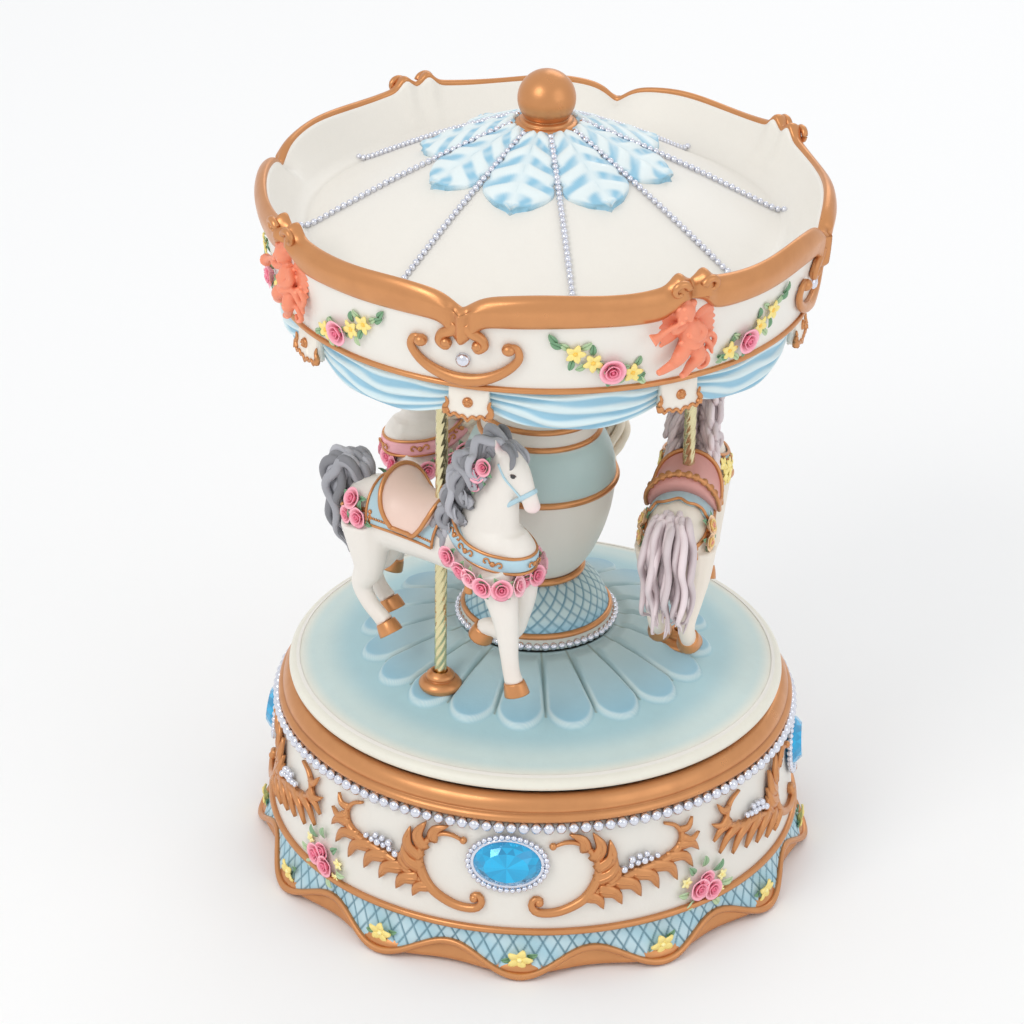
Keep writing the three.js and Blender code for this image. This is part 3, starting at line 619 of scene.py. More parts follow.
# ---------------- flowers and leaves
def cupped_petal(radius, span, height, flare):
    """One rose petal: a thin cupped shell about Z, centred on +X."""
    turn = np.linspace(-span / 2, span / 2, 7)[:, None]
    rise = np.linspace(0, 1, 6)[None, :]
    edge = 1 - 0.16 * (2 * turn / span) ** 2
    out = radius * (0.35 + 0.65 * rise**0.7) + flare * rise**3
    outer = about_axis(out, turn, height * rise * edge)
    inner = outer * np.array([0.88, 0.88, 1])
    return capped(np.concatenate([outer, inner[:, ::-1]], 1))


def about_z(turn):
    return np.array(Matrix.Rotation(turn, 4, "Z"))


def add_rose(petals, matrix, size, colour=ROSE):
    """A carved rose that opens towards +Z: a bud and three rounds of petals."""
    for rounds, (count, radius, height, flare, tone) in enumerate([
        (3, 0.34, 0.92, 0.02, mix(colour, ROSE_DEEP, 0.5)),
        (4, 0.62, 0.86, 0.1, mix(colour, ROSE_DEEP, 0.15)),
        (5, 0.92, 0.66, 0.3, mix(colour, ROSE_PALE, 0.45)),
    ]):
        for k in range(count):
            petal = cupped_petal(radius * size, TAU / count * 1.25, height * size, flare * size)
            turn = TAU * (k + 0.37 * rounds) / count
            petals.add(petal, tone, matrix @ about_z(turn))
    petals.add(ball((0.2 * size, 0.2 * size, 0.45 * size), (0, 0, 0.45 * size), 5, 8), ROSE_DEEP, matrix)


def add_blossom(petals, matrix, size, colour=YELLOW, heart=YELLOW_PALE):
    """An open five-petalled blossom with a domed heart."""
    for k in range(5):
        turn = TAU * k / 5
        reach_out = np.linspace(0.1, 1.0, 6)
        path = np.stack([reach_out * size, 0 * reach_out, 0.3 * size * np.sin(np.pi * reach_out * 0.75)], -1)
        width = size * 0.36 * np.sin(np.pi * np.clip(0.16 + 0.8 * reach_out, 0, 0.97)) ** 0.6
        petal = ribbon(path, width, 0.1 * size + 0 * width, (0, 0, 1), 8)
        petals.add(petal, colour, matrix @ about_z(turn))
    petals.add(ball((0.22 * size, 0.22 * size, 0.2 * size), (0, 0, 0.22 * size), 5, 8), heart, matrix)


def add_leaf(leaves, matrix, length, width, colour=LEAF, curl=0.25):
    """A pointed leaf that runs along +X, with a creased middle."""
    s = np.linspace(0, 1, 8)
    path = np.stack([length * s, 0 * s, curl * length * np.sin(np.pi * s * 0.8)], -1)
    span = width * np.sin(np.pi * (0.08 + 0.9 * s)) ** 0.8
    for side in (-1, 1):
        half = path + np.stack([0 * s, side * span * 0.45, -0.1 * span], -1)
        leaves.add(ribbon(half, span * 0.55, 0.12 * width + 0.05 * span, (0, -side * 0.35, 1), 6), colour,
                   matrix)


def outward_place(azimuth, radius, z, turn=0.0, lean=0.0):
    """A placement on an upright wall: local Z looks out, local Y up, local X to the right."""
    a = math.radians(azimuth)
    out = np.array([math.cos(a), math.sin(a), 0])
    right = np.array([-math.sin(a), math.cos(a), 0])
    up = np.array([0, 0, 1.0])
    if lean:
        out, up = math.cos(lean) * out + math.sin(lean) * up, math.cos(lean) * up - math.sin(lean) * out
    x = math.cos(turn) * right + math.sin(turn) * up
    y = -math.sin(turn) * right + math.cos(turn) * up
    return basis((radius * math.cos(a), radius * math.sin(a), z), x, y, out)


# ---------------- camera, light and floor
CAMERA_AZIMUTH = 5.0
CAMERA_RADIUS = 842.6
CAMERA_HEIGHT = 544.2
CAMERA_DOWN = 28.04
CAMERA_YAW = 0.465
CAMERA_ROLL = 0.94
CAMERA_LENS = 129.6


def stage_camera():
    data = bpy.data.cameras.new("camera")
    data.lens = CAMERA_LENS
    data.sensor_width = 36
    data.clip_end = 10
    camera = new_object("camera", data)
    a = math.radians(CAMERA_AZIMUTH)
    place = Vector((CAMERA_RADIUS * math.sin(a), -CAMERA_RADIUS * math.cos(a), CAMERA_HEIGHT)) * MM
    turn = Matrix.Rotation(math.radians(CAMERA_AZIMUTH + CAMERA_YAW), 4, "Z")
    tilt = Matrix.Rotation(math.radians(90 - CAMERA_DOWN), 4, "X")
    roll = Matrix.Rotation(math.radians(CAMERA_ROLL), 4, "Z")
    camera.matrix_world = Matrix.Translation(place) @ turn @ tilt @ roll
    bpy.context.scene.camera = camera


def area_light(name, place, size, power, colour=(1, 1, 1)):
    data = bpy.data.lights.new(name, "AREA")
    data.energy, data.size, data.color = power, size, colour
    light = new_object(name, data)
    light.location = place
    light.rotation_euler = (Vector((0, 0, 0.1)) - Vector(place)).to_track_quat("-Z", "Y").to_euler()


def stage_room():
    world = bpy.data.worlds.new("studio")
    bpy.context.scene.world = world
    world.use_nodes = True
    world.node_tree.nodes["Background"].inputs[0].default_value = (0.98, 0.99, 1.0, 1)
    world.node_tree.nodes["Background"].inputs[1].default_value = 0.86
    area_light("key", (-0.55, -0.75, 0.95), 0.5, 3.4, (1.0, 0.98, 0.95))
    area_light("fill", (0.8, -0.5, 0.55), 0.7, 0.9, (0.97, 0.98, 1.0))
    area_light("rim", (0.2, 0.9, 0.8), 0.6, 1.2)
    side = 3.0
    mesh = bpy.data.meshes.new("floor")
    mesh.from_pydata([(-side, -side, 0), (side, -side, 0), (side, side, 0), (-side, side, 0)], [],
                     [(0, 1, 2, 3)])
    floor = new_object("floor", mesh)
    material = bpy.data.materials.new("pale_floor")
    material.use_nodes = True
    shader = material.node_tree.nodes["Principled BSDF"]
    shader.inputs["Base Color"].default_value = (0.95, 0.95, 0.95, 1)
    shader.inputs["Roughness"].default_value = 0.9
    mesh.materials.append(material)
    bpy.context.scene.view_settings.view_transform = "Standard"


stage_camera()
stage_room()

# ---------------- base
def skirt_wave(azimuth):
    """1 at the crown of a skirt lobe, -1 between lobes."""
    return np.cos(np.radians(SKIRT_LOBES * (np.asarray(azimuth) - SKIRT_PHASE)))


def skirt_edge(azimuth):
    wave = skirt_wave(azimuth)
    return 71.4 + 1.9 * wave, 4.3 - 2.9 * wave


def wall_radius(z):
    return SKIRT_TOP_RADIUS + (WALL_TOP_RADIUS - SKIRT_TOP_RADIUS) * (z - SKIRT_TOP) / (WALL_TOP - SKIRT_TOP)


def on_wall(centre, u, z, out=0.0):
    """A point u millimetres to the right of a centre azimuth, on the base's wall."""
    radius = wall_radius(z)
    return about_axis(radius + out, math.radians(centre) + u / radius, z)


def base_casing():
    deck, lip = 40.5, 46.2
    outline = [
        (6.3, 38.0), (6.3, deck), (30, deck), (56.6, deck), (57.4, 41.5), (57.6, 45.6), (58.2, lip),
        (59.8, lip), (60.4, 45.6), (60.8, 43.4), (61.2, 42.9), (66.2, 42.9), (66.9, 42.6), (67.0, 41.8),
        (67.6, 35.0), (68.6, 25.0), (69.5, 14.4), (69.6, 12.8), (69.2, 12.2), (66.4, 12.0), (65.6, 20.0),
        (63.8, 38.0),
    ]
    form = Form().add(revolve(outline, 300), CREAM)
    return settle(form.build("base_casing", CREAM_RESIN), "base", "white_resin", "base_shell")


def lattice_depth(s, height, spacing, slope, width):
    """How deep two crossing families of grooves cut: both together, then each alone."""
    lines = []
    for sign in (-1, 1):
        phase = ((s + sign * slope * height) / spacing) % 1.0
        away = np.minimum(phase, 1 - phase) * spacing
        lines.append(np.clip(1 - away / width, 0, 1))
    return np.maximum(lines[0], lines[1]), lines


def base_skirt():
    steps, rows, grooves = 2160, 24, 116
    azimuth = 360 * np.arange(steps) / steps
    turn = np.radians(azimuth)[:, None]
    edge_radius, edge_z = skirt_edge(azimuth)
    fall = np.linspace(0, 1, rows)[None, :]
    z = 12.9 + (edge_z[:, None] - 12.9) * fall
    radius = 69.3 + (edge_radius[:, None] - 69.3) * fall**1.5
    spacing = TAU * ARC_RADIUS / grooves
    depth, _ = lattice_depth(turn * ARC_RADIUS, z, spacing, 0.62, 0.42)
    outer = radius - 0.28 * depth
    inside = np.stack([radius[:, -1] - 1.6, 0 * radius[:, -1] + 66.8, 0 * radius[:, -1] + 66.8], 1)
    inside_z = np.stack([edge_z - 0.2, edge_z + 1.2, 0 * edge_z + 12.9], 1)
    radii, heights = np.concatenate([outer, inside], 1), np.concatenate([z, inside_z], 1)
    shape = surface(about_axis(radii, turn, heights), True, True)
    # painted highlight: whitish bands that wave round the skirt lighten its blue
    light = 0.5 + 0.5 * np.sin(turn * 31 + heights * 0.7)
    tone = mix(mix(SKY, paint(205, 226, 232), 0.55 * light), TEAL,
               np.concatenate([depth, 0 * inside], 1) ** 0.7)
    form = Form().add(shape, tone.reshape(-1, 3))
    return settle(form.build("lattice_skirt", LATTICE_RESIN), "base", "pale_blue_resin")


def foot_ring():
    """The gilt foot below the skirt, with its twelve shallow lobes."""
    outline = smooth_line([(66.9, 1.1), (69.6, 1.0), (71.2, 1.5), (71.4, 2.6), (70.4, 4.4), (68.6, 6.4),
                           (67, 6.6)],
                          28, True)

    def lobed(azimuth, line):
        wave = skirt_wave(azimuth)
        grow = np.clip((line[:, 0] - 66.8) / 4.6, 0, 1)
        return np.stack([line[:, 0] + grow * 1.7 * wave, line[:, 1]], -1)

    form = Form().add(revolve(outline, 480, lobed), GOLD)
    azimuth = np.linspace(0, 360, 721)
    radius, z = skirt_edge(azimuth)
    hem = about_axis(radius + 0.2, np.radians(azimuth), z - 0.2)
    form.add(loop_rope(hem[:-1], 1.0), GOLD)
    line = ring_line(SKIRT_TOP_RADIUS + 0.35, SKIRT_TOP, 360)[:-1]
    form.add(loop_rope(line, 0.95), GOLD)
    return settle(form.build("skirt_gilding", GILT), "base", "gold_paint")


def loop_rope(path, radius, sides=10):
    """A closed ring of round section along a loop about Z."""
    out = outward_of(path)[:, None]
    turn = (TAU * np.arange(sides) / sides)[None, :, None]
    rings = path[:, None] + radius * (out * np.cos(turn) + np.array([0, 0, 1.0]) * np.sin(turn))
    return surface(rings, True, True)


def gold_top_ring():
    outline = smooth_line([
        (61.1, 43.5), (61.0, 47.6), (61.8, 49.2), (63.6, 49.8), (65.4, 49.2), (66.5, 47.8), (66.9, 46.5),
        (66.7, 45.9), (67.5, 45.5), (68.1, 44.6), (67.7, 43.6), (66.6, 43.3), (64, 43.4),
    ], 64, True)

    def hand_turned(azimuth, line):
        a = math.radians(azimuth)
        wobble = 0.12 * math.sin(3 * a + math.radians(40)) + 0.06 * math.sin(11 * a)
        return line + np.array([wobble, 0.5 * wobble])

    form = Form().add(revolve(outline, 360, hand_turned), GOLD)
    return settle(form.build("gold_top_ring", GILT), "base", "gold_paint", "base_top_ring")


def gem_stone(width, height, depth, count=16):
    """An oval cut stone in the XY plane that faces +Z, with table, star and girdle facets."""
    def ring(scale, z, shift=0.0):
        turn = TAU * (np.arange(count) + shift) / count
        return np.stack([scale * width / 2 * np.cos(turn), scale * height / 2 * np.sin(turn), z + 0 * turn],
                        -1)

    rings = [ring(0.97, 0.0), ring(1.0, 0.25 * depth), ring(0.86, 0.62 * depth, 0.5), ring(0.66, depth)]
    points, faces = np.vstack(rings), []
    for level in range(3):
        for k in range(count):
            a, b = level * count + k, level * count + (k + 1) % count
            c, d = a + count, b + count
            faces += [(a, b, c), (b, d, c)] if level != 2 else [(a, b, d), (a, d, c)]
    points = np.vstack([points, [[0, 0, depth], [0, 0, 0]]])
    faces += [(3 * count + k, 3 * count + (k + 1) % count, 4 * count) for k in range(count)]
    faces += [((k + 1) % count, k, 4 * count + 1) for k in range(count)]
    # each facet owns its corners, so that it keeps its own tone of painted reflection
    flat = np.array(faces).ravel()
    return points[flat], np.zeros((0, 4), int), np.arange(len(flat)).reshape(-1, 3)


def oval_line(half_width, half_height, z):
    """A closed oval in the XY plane; its last point repeats its first."""
    turn = np.radians(np.linspace(0, 360, 97))
    line = np.stack([half_width * np.cos(turn), half_height * np.sin(turn), z + 0 * turn], -1)
    line[-1] = line[0]
    return line


def gems():
    bead_lines, cup_lines, border = [], [], 1.35
    for side, azimuth in zip(("front", "right", "back", "left"), GEM_AZIMUTHS):
        place = outward_place(azimuth, wall_radius(GEM_Z) + 0.2, GEM_Z, lean=math.radians(4.5))
        stone = gem_stone(17.4, 12.4, 3.3)
        count = len(stone[2])
        # painted reflection: each facet gets a random tone between dark and bright blue
        random = np.random.default_rng(11).random(count)
        middle = stone[0][stone[2]].mean(1)
        # painted light: facets nearer the top of the stone are lighter
        painted_light_from_above = np.clip(0.55 + 0.05 * middle[:, 1], 0, 1)
        bright, dark = paint(0, 186, 240), paint(0, 92, 140)
        # painted highlight: the table facets are made lighter still
        tone = mix(dark, bright, np.clip(0.35 + 0.65 * random * painted_light_from_above + 0.2 * (middle[:, 2] > 3.2), 0, 1))
        form = Form().add(stone, np.repeat(tone, 3, 0), place)
        piece = form.build(f"gem_{side}_stone", GEM)
        piece.data.shade_flat()
        settle(piece, "base", "blue_gem", f"gem_{side}")
        string = oval_line(8.7 + border, 6.2 + border, 0.9)
        string[:, 2] -= string[:, 0] ** 2 / (2 * wall_radius(GEM_Z)) * 0.75
        bead_lines.append(placed(string, place))
        cup_lines.append(placed(oval_line(8.9, 6.5, 0.5), place))
    beads("gem_bead_borders", bead_lines, 0.8, 1.55, "base")
    cups = Form()
    for line in cup_lines:
        cups.add(rope(line, 0.55, 8), GOLD)
    settle(cups.build("gem_cups", SILVER), "base", "white_resin")


def wall_path(centre, points, count, out, place=on_wall, mirror=1):
    line = smooth_line(points, count)
    return np.array([place(centre, mirror * u, z, out) for u, z in line])


def taper(count, start, middle, end):
    s = np.linspace(0, 1, count)
    return np.interp(s, [0, 0.12, 0.55, 1], [start, 0.85 * middle, middle, end])


def acanthus_lobe(form, centre, root, tip, width, mirror, bend):
    """One gilt leaf lobe from root to tip, bowed and pointed, with a ridge."""
    root, tip = np.array(root, float), np.array(tip, float)
    run = tip - root
    side = np.array([-run[1], run[0]]) * bend
    points = [root, root + 0.5 * run + side, tip]
    count = 9
    s = np.linspace(0, 1, count)
    line = wall_path(centre, points, count, 0.75, mirror=mirror)
    outward = outward_of(line)
    line = line + outward * (0.9 * np.sin(np.pi * s) * width * 0.45)[:, None]
    span = width * (0.12 + 1.0 * (1 - s**1.7) ** 0.8)
    form.add(ribbon(line, span, 0.5 + 0.2 * span, outward, 8), GOLD)
    form.add(rope(line + outward * (0.42 + 0.14 * span)[:, None], 0.16 * span + 0.05, 6), GOLD)


def base_scrolls():
    """Gilt acanthus scrolls on both sides of each gem."""
    form = Form()
    crystals = []
    for centre in GEM_AZIMUTHS:
        for mirror in (-1, 1):
            c_curve = [(8.8, 21.6), (7.4, 22.4), (6.3, 20.8), (7.2, 18.8), (10.1, 18.2), (14.2, 18.9),
                       (19.0, 21.4), (21.9, 25.2), (23.0, 29.4), (21.7, 33.9), (18.2, 37.4), (14.6, 38.1),
                       (11.4, 37.0)]
            branch = [(20.6, 22.4), (24.4, 24.4), (28.6, 26.2), (34.4, 27.9), (41.1, 28.9), (45.0, 31.2),
                      (45.7, 34.4), (43.6, 37.6), (40.3, 39.2)]
            for points, thick in ((c_curve, 1.3), (branch, 1.25)):
                line = wall_path(centre, points, 46, 0.7, mirror=mirror)
                outward = outward_of(line)
                width = taper(46, 0.75, thick, 0.4)
                form.add(ribbon(line, width, 0.8 * width + 0.25, outward, 10), GOLD)
                form.add(rope(line + outward * (0.55 * width)[:, None], 0.3 * width, 6), GOLD)
            form.add(ball(1.15, on_wall(centre, mirror * 8.2, 21.3, 0.9), 8, 12), GOLD)
            form.add(ball(1.0, on_wall(centre, mirror * 11.2, 37.2, 0.9), 8, 12), GOLD)
            lobes = [
                ((22.2, 26.6), (27.3, 33.2), 1.9), ((22.6, 29.4), (25.6, 37.6), 1.9),
                ((21.8, 32.4), (21.2, 40.2), 1.8), ((19.6, 35.4), (15.2, 40.4), 1.5),
                ((25.6, 25.4), (27.6, 31.0), 1.3), ((19.6, 22.6), (24.4, 18.6), 1.7),
                ((23.0, 23.8), (29.2, 19.2), 1.9), ((27.2, 25.6), (34.3, 20.4), 2.0),
                ((31.8, 27.2), (39.2, 21.4), 1.9), ((36.6, 28.2), (44.6, 22.2), 1.8),
                ((41.2, 29.2), (49.3, 24.4), 1.6), ((44.6, 31.4), (51.0, 28.6), 1.4),
                ((45.4, 33.6), (51.0, 33.6), 1.3), ((44.8, 35.8), (48.6, 38.6), 1.1),
            ]
            for root, tip, width in lobes:
                bend = 0.22 if tip[1] < root[1] else -0.22
                acanthus_lobe(form, centre, root, tip, width, mirror, bend)
            crystals += [on_wall(centre, mirror * u, z, 1.3) for u, z in
                         [(29.4, 29.0), (31.2, 29.8), (33.0, 30.2), (34.8, 30.4), (36.6, 30.6), (38.4, 31.0),
                          (31.4, 31.4), (33.4, 32.0), (35.4, 32.2)]]
    settle(form.build("base_scrolls", GILT), "base", "gold_paint")
    stones = Form()
    for k, centre in enumerate(crystals):
        stones.add(ball(0.85 if k % 3 else 1.05, centre, 6, 10), CREAM)
    settle(stones.build("scroll_crystals", SILVER), "base", "white_resin")


def base_flowers():
    roses, blossoms, leaves = Form(), Form(), Form()
    for azimuth in ROSE_AZIMUTHS:
        for u, z, size in ((-2.9, 17.2, 2.6), (1.4, 15.6, 2.5), (-0.4, 19.2, 2.1)):
            place = outward_place(azimuth + math.degrees(u / ARC_RADIUS), wall_radius(z) + 0.2, z, turn=u)
            add_rose(roses, place, size, ROSE)
        for u, z, size in ((-6.4, 19.8, 1.7), (5.6, 17.8, 1.7), (4.8, 13.4, 1.6)):
            place = outward_place(azimuth + math.degrees(u / ARC_RADIUS), wall_radius(z) + 0.3, z, turn=u)
            add_blossom(blossoms, place, size, YELLOW_PALE, YELLOW)
        for u, z, turn, length in ((-7.6, 16.4, 2.9, 3.8), (-5.0, 21.4, 2.2, 3.6), (-1.0, 22.6, 1.5, 3.4),
                                   (3.8, 20.0, 0.8, 3.8), (6.6, 15.4, 0.1, 4.0), (2.6, 12.6, -0.9, 3.2),
                                   (-5.6, 13.8, 3.6, 3.2)):
            turned = azimuth + math.degrees(u * 0.75 / ARC_RADIUS)
            place = outward_place(turned, wall_radius(z) + 0.5, z, turn=turn)
            add_leaf(leaves, place, length, 1.1, mix(LEAF, LEAF_PALE, 0.5 + 0.5 * math.sin(3 * u)))
    for k in range(SKIRT_LOBES):
        azimuth = SKIRT_PHASE + 30 * k
        place = outward_place(azimuth, 71.6, 5.6, turn=0.7 * k, lean=-0.15)
        add_blossom(blossoms, place, 3.4)
        for turn in (0.3, 3.3):
            leaf = outward_place(azimuth, 71.2, 5.4, turn=turn + 0.4 * math.sin(2.0 * k))
            leaf[:3, 3] += leaf[:3, 0] * 2.0
            add_leaf(leaves, leaf, 2.8, 0.85)
    settle(roses.build("base_roses", FLOWER_PAINT), "base", "white_resin")
    settle(blossoms.build("skirt_blossoms", BLOSSOM_PAINT), "base", "white_resin")
    settle(leaves.build("base_leaves", LEAF_PAINT), "base", "white_resin")


base_casing()
base_skirt()
foot_ring()
gold_top_ring()
beads("base_pearl_string", [ring_line(68.0, 42.2, 360)], 1.5, 3.12, "base")
gems()
base_scrolls()
base_flowers()


# ---------------- turned pieces and closed sheets
def spun(profile, steps, centre=(0, 0), wave=None):
    """A solid turned about an upright axis, from [radius, height] points that run bottom to top."""
    profile = np.asarray(profile, float)
    turn = TAU * np.arange(steps) / steps
    radius = profile[:, 0][:, None] + (wave(turn[None, :], profile) if wave else 0)
    return capped(about_axis(radius, turn, profile[:, 1][:, None], centre))


def slab(upper, lower):
    """A closed sheet between two grids of the same size."""
    return capped(np.concatenate([upper, lower[:, ::-1]], 1))


def polar(points):
    """Radius and azimuth, in degrees, of points about the turning axis."""
    return np.hypot(points[:, 0], points[:, 1]), np.degrees(np.arctan2(points[:, 1], points[:, 0]))


def offset_to(azimuth, first, step):
    """Signed angle from each azimuth to the nearest member of an evenly spaced set."""
    return (np.asarray(azimuth) - first + step / 2) % step - step / 2


def arc_to(azimuth, first):
    """Signed millimetres along the rim to the nearest of its four folds or crests."""
    return np.radians(offset_to(azimuth, first, 90)) * ARC_RADIUS


def smoothstep(value):
    value = np.clip(value, 0, 1)
    return value * value * (3 - 2 * value)


# ---------------- platform
PLATFORM_TOP = [(20.6, 65.6), (24, 64.6), (30, 62.7), (38, 60.1), (47, 57.4), (56, 55.6), (62, 54.3),
                (64.2, 53.5)]
PETAL_TIP, PETAL_ROUND, PETAL_RISE = 46.6, 40.2, 1.5
PETAL_STEP = 360 / PETALS


def petal_field(radius, azimuth):
    """0 outside a petal, 1 well inside it."""
    aside = np.abs(np.radians(offset_to(azimuth, 270, PETAL_STEP))) * radius
    half = np.minimum(radius, PETAL_ROUND) * math.tan(math.radians(PETAL_STEP / 2)) * 0.99
    beyond = np.clip((radius - PETAL_ROUND) / (PETAL_TIP - PETAL_ROUND), 0, 2)
    return np.clip((1 - np.hypot(aside / half, beyond)) * half / 1.5, 0, 1)


def platform_colour(points):
    radius, azimuth = polar(points)
    field = petal_field(radius, azimuth)
    along_petal = np.clip((radius - 22) / (PETAL_TIP - 22), 0, 1)
    body_tone = mix(paint(182, 204, 206), paint(140, 188, 208), along_petal**1.3)
    edge = np.exp(-((field - 0.4) / 0.3) ** 2) * smoothstep((radius - 30) / 8)
    tone = mix(body_tone, paint(208, 224, 224), 0.85 * edge)
    aside = np.abs(np.radians(offset_to(azimuth, 270 + PETAL_STEP / 2, PETAL_STEP))) * radius
    # painted shade: a dark olive line along the gaps between the petals
    painted_gap_shade = np.exp(-((aside / 0.32) ** 2)) * (radius < PETAL_ROUND + 2)
    ground = mix(paint(170, 205, 212), paint(200, 219, 217), smoothstep((radius - 48) / 9))
    ground = mix(ground, paint(232, 229, 216), smoothstep((radius - 58.5) / 4.5))
    tone = mix(ground, tone, smoothstep(field * 2.2))
    return mix(tone, paint(132, 132, 112), 0.75 * painted_gap_shade)


POLE_BORE = 2.4
BORE_LOW, BORE_HIGH = 49, 66


def drill(piece, centre):
    """Cuts an upright hole for a pole through a piece."""
    outline = [(POLE_BORE, BORE_LOW), (POLE_BORE, BORE_HIGH)]
    tool = Form().add(spun(outline, 32, centre)).build("drill", CREAM_RESIN)
    cut = piece.modifiers.new("hole", "BOOLEAN")
    cut.operation, cut.solver, cut.object = "DIFFERENCE", "EXACT", tool
    mesh = finished_mesh(piece)
    piece.modifiers.clear()
    piece.data = mesh
    bpy.data.objects.remove(tool)


def platform():
    rings = np.linspace(20.6, 62.6, 100)
    line = smooth_line(PLATFORM_TOP, 120)
    tops = np.stack([rings, np.interp(rings, line[:, 0], line[:, 1])], -1)
    edge = [(63.6, 54.0), (64.4, 53.5), (PLATFORM_RADIUS - 0.1, 52.9), (PLATFORM_RADIUS, 52.2), (64.8, 51.4),
            (63.4, 50.6), (62, 50.2), (47, 53.6), (30, 58.9), (21, 61), (20.6, 61)]
    outline = np.vstack([tops, edge])

    def petalled(azimuth, line):
        field = petal_field(line[:, 0], azimuth)
        rise = PETAL_RISE * smoothstep(field) * smoothstep((line[:, 0] - 21) / 5)
        lip = 0.5 * np.exp(-((field - 0.5) / 0.22) ** 2) * smoothstep((line[:, 0] - 24) / 8)
        on_top = np.arange(len(line)) < len(tops)
        return np.stack([line[:, 0], line[:, 1] + (rise + lip) * on_top], -1)

    form = Form().add(revolve(outline, 800, petalled), platform_colour)
    disc = form.build("petal_platform", SKY_RESIN)
    for number in HORSES:
        low, high = limits(f"pole_{number}")
        drill(disc, (low + high)[:2] / 2)
    settle(disc, "turntable", "pale_blue_resin", "platform")
    rim = smooth_line([(62.2, 54.5), (62.9, 54.2), (63.4, 53.8), (63.0, 53.4), (62.2, 53.8)], 14, True)
    settle(Form().add(revolve(rim, 300), CREAM).build("platform_bead", CREAM_RESIN), "turntable",
           "white_resin")


def collars():
    for number in HORSES:
        low, high = limits(f"pole_collar_{number}")
        centre, wide = (low + high)[:2] / 2, (high[0] - low[0]) / 2
        base = low[2]
        body = smooth_line([(2.1, base), (wide - 0.9, base), (wide, base + 0.9), (wide + 0.1, base + 1.9),
                            (wide - 0.8, base + 2.9), (wide - 1.9, base + 3.3), (wide - 1.7, base + 3.7),
                            (wide - 1.9, base + 4.4), (wide - 2.8, high[2] - 0.2), (2.3, high[2])], 40)
        profile = np.vstack([body, [(1.85, high[2] - 0.3), (1.85, base + 0.3)]])
        place = basis((centre[0], centre[1], 0), (1, 0, 0), (0, 1, 0), (0, 0, 1))
        form = Form().add(revolve(profile, 48), GOLD, place)
        settle(form.build(f"gilt_collar_{number}", GILT), "turntable", "gold_paint", f"pole_collar_{number}")


# ---------------- pillar
VASE = np.array([(10.6, 81.4), (11.6, 82.2), (13.2, 84.4), (15.1, 87.8), (17.4, 93.6), (19.0, 100.0),
                 (19.8, 107.0), (19.6, 110.4), (18.9, 114.2), (17.4, 117.9), (15.6, 120.8), (15.1, 123.0),
                 (15.0, 126.0), (14.2, 128.4), (13.2, 132), (12.9, 148), (12.9, 162.8)])


def vase_colour(points):
    z = points[:, 2]
    shoulder = smoothstep((z - 107.6) / 1.2) * smoothstep((121.2 - z) / 1.2)
    # painted shade: the lower body turns greyer green below the bulge
    low = smoothstep((98 - z) / 16)
    tone = mix(paint(228, 224, 214), paint(206, 214, 208), 0.35 * low)
    tone = mix(tone, paint(184, 207, 205), shoulder)
    return mix(tone, paint(206, 220, 220), 0.5 * smoothstep((z - 128) / 8))


def pillar():
    line = smooth_line(VASE, 110)
    form = Form().add(spun(line, 160), vase_colour)
    settle(form.build("vase", CREAM_RESIN), "turntable", "white_resin", "pillar_vase")
    foot_line = smooth_line([(20.4, 66.0), (20.7, 66.6), (20.2, 67.5), (19.3, 68.6), (18.9, 69.8),
                             (18.2, 72.4), (16.2, 76.0), (13.3, 78.9), (11.6, 80.2), (11.0, 80.9)], 64)
    dome_radius, grooves, slope = 15, 30, 0.95
    spacing = TAU * dome_radius / grooves

    def lattice(turn, profile):
        height = profile[:, 1][:, None]
        depth, _ = lattice_depth(turn * dome_radius, height, spacing, slope, 0.5)
        return -0.3 * depth * smoothstep((height - 69.5) / 1.0)

    def foot_colour(points):
        turn = np.radians(polar(points)[1] % 360)
        _, lines = lattice_depth(turn * dome_radius, points[:, 2], spacing, slope, 0.55)
        zone = smoothstep((points[:, 2] - 69.0) / 0.7)
        ground = mix(paint(196, 218, 220), paint(150, 196, 216), smoothstep((74 - points[:, 2]) / 4))
        tone = mix(mix(ground, paint(92, 142, 165), lines[0]), paint(105, 150, 170), 0.85 * lines[1])
        return mix(paint(214, 222, 216), tone, zone)

    form = Form().add(spun(foot_line, 520, wave=lattice), foot_colour)
    settle(form.build("lattice_dome", LATTICE_RESIN), "turntable", "pale_blue_resin", "pillar_foot")
    rings = Form()
    for radius, z, thick in ((19.1, 69.2, 0.85), (11.6, 80.9, 0.95), (19.9, 107.6, 0.9), (15.5, 121.2, 0.75),
                             (15.2, 126.0, 0.75), (13.3, 161.6, 0.9)):
        rings.add(loop_rope(ring_line(radius, z, 160)[:-1], thick), GOLD)
    settle(rings.build("pillar_gold_rings", GILT), "turntable", "gold_paint")
    beads("pillar_pearls", [ring_line(20.5, 67.1, 200)], 1.05, 2.15, "turntable")


# ---------------- canopy
def fascia_radius(z):
    return 66.8 + 0.16 * (z - 163)


def on_fascia(centre, u, z, out=0.0):
    """A point u millimetres to the right of a centre azimuth, on the canopy's fascia."""
    radius = fascia_radius(z)
    return about_axis(radius + out, math.radians(centre) + u / radius, z)


ROOF = np.array([(6.9, 203.6), (10, 202.6), (16, 200.0), (26, 195.2), (38, 189.2), (50, 182.6), (56, 179.2),
                 (ROOF_EDGE_RADIUS, ROOF_EDGE_Z)])


def roof_z(radius):
    line = smooth_line(ROOF, 120)
    return np.interp(radius, line[:, 0], line[:, 1])


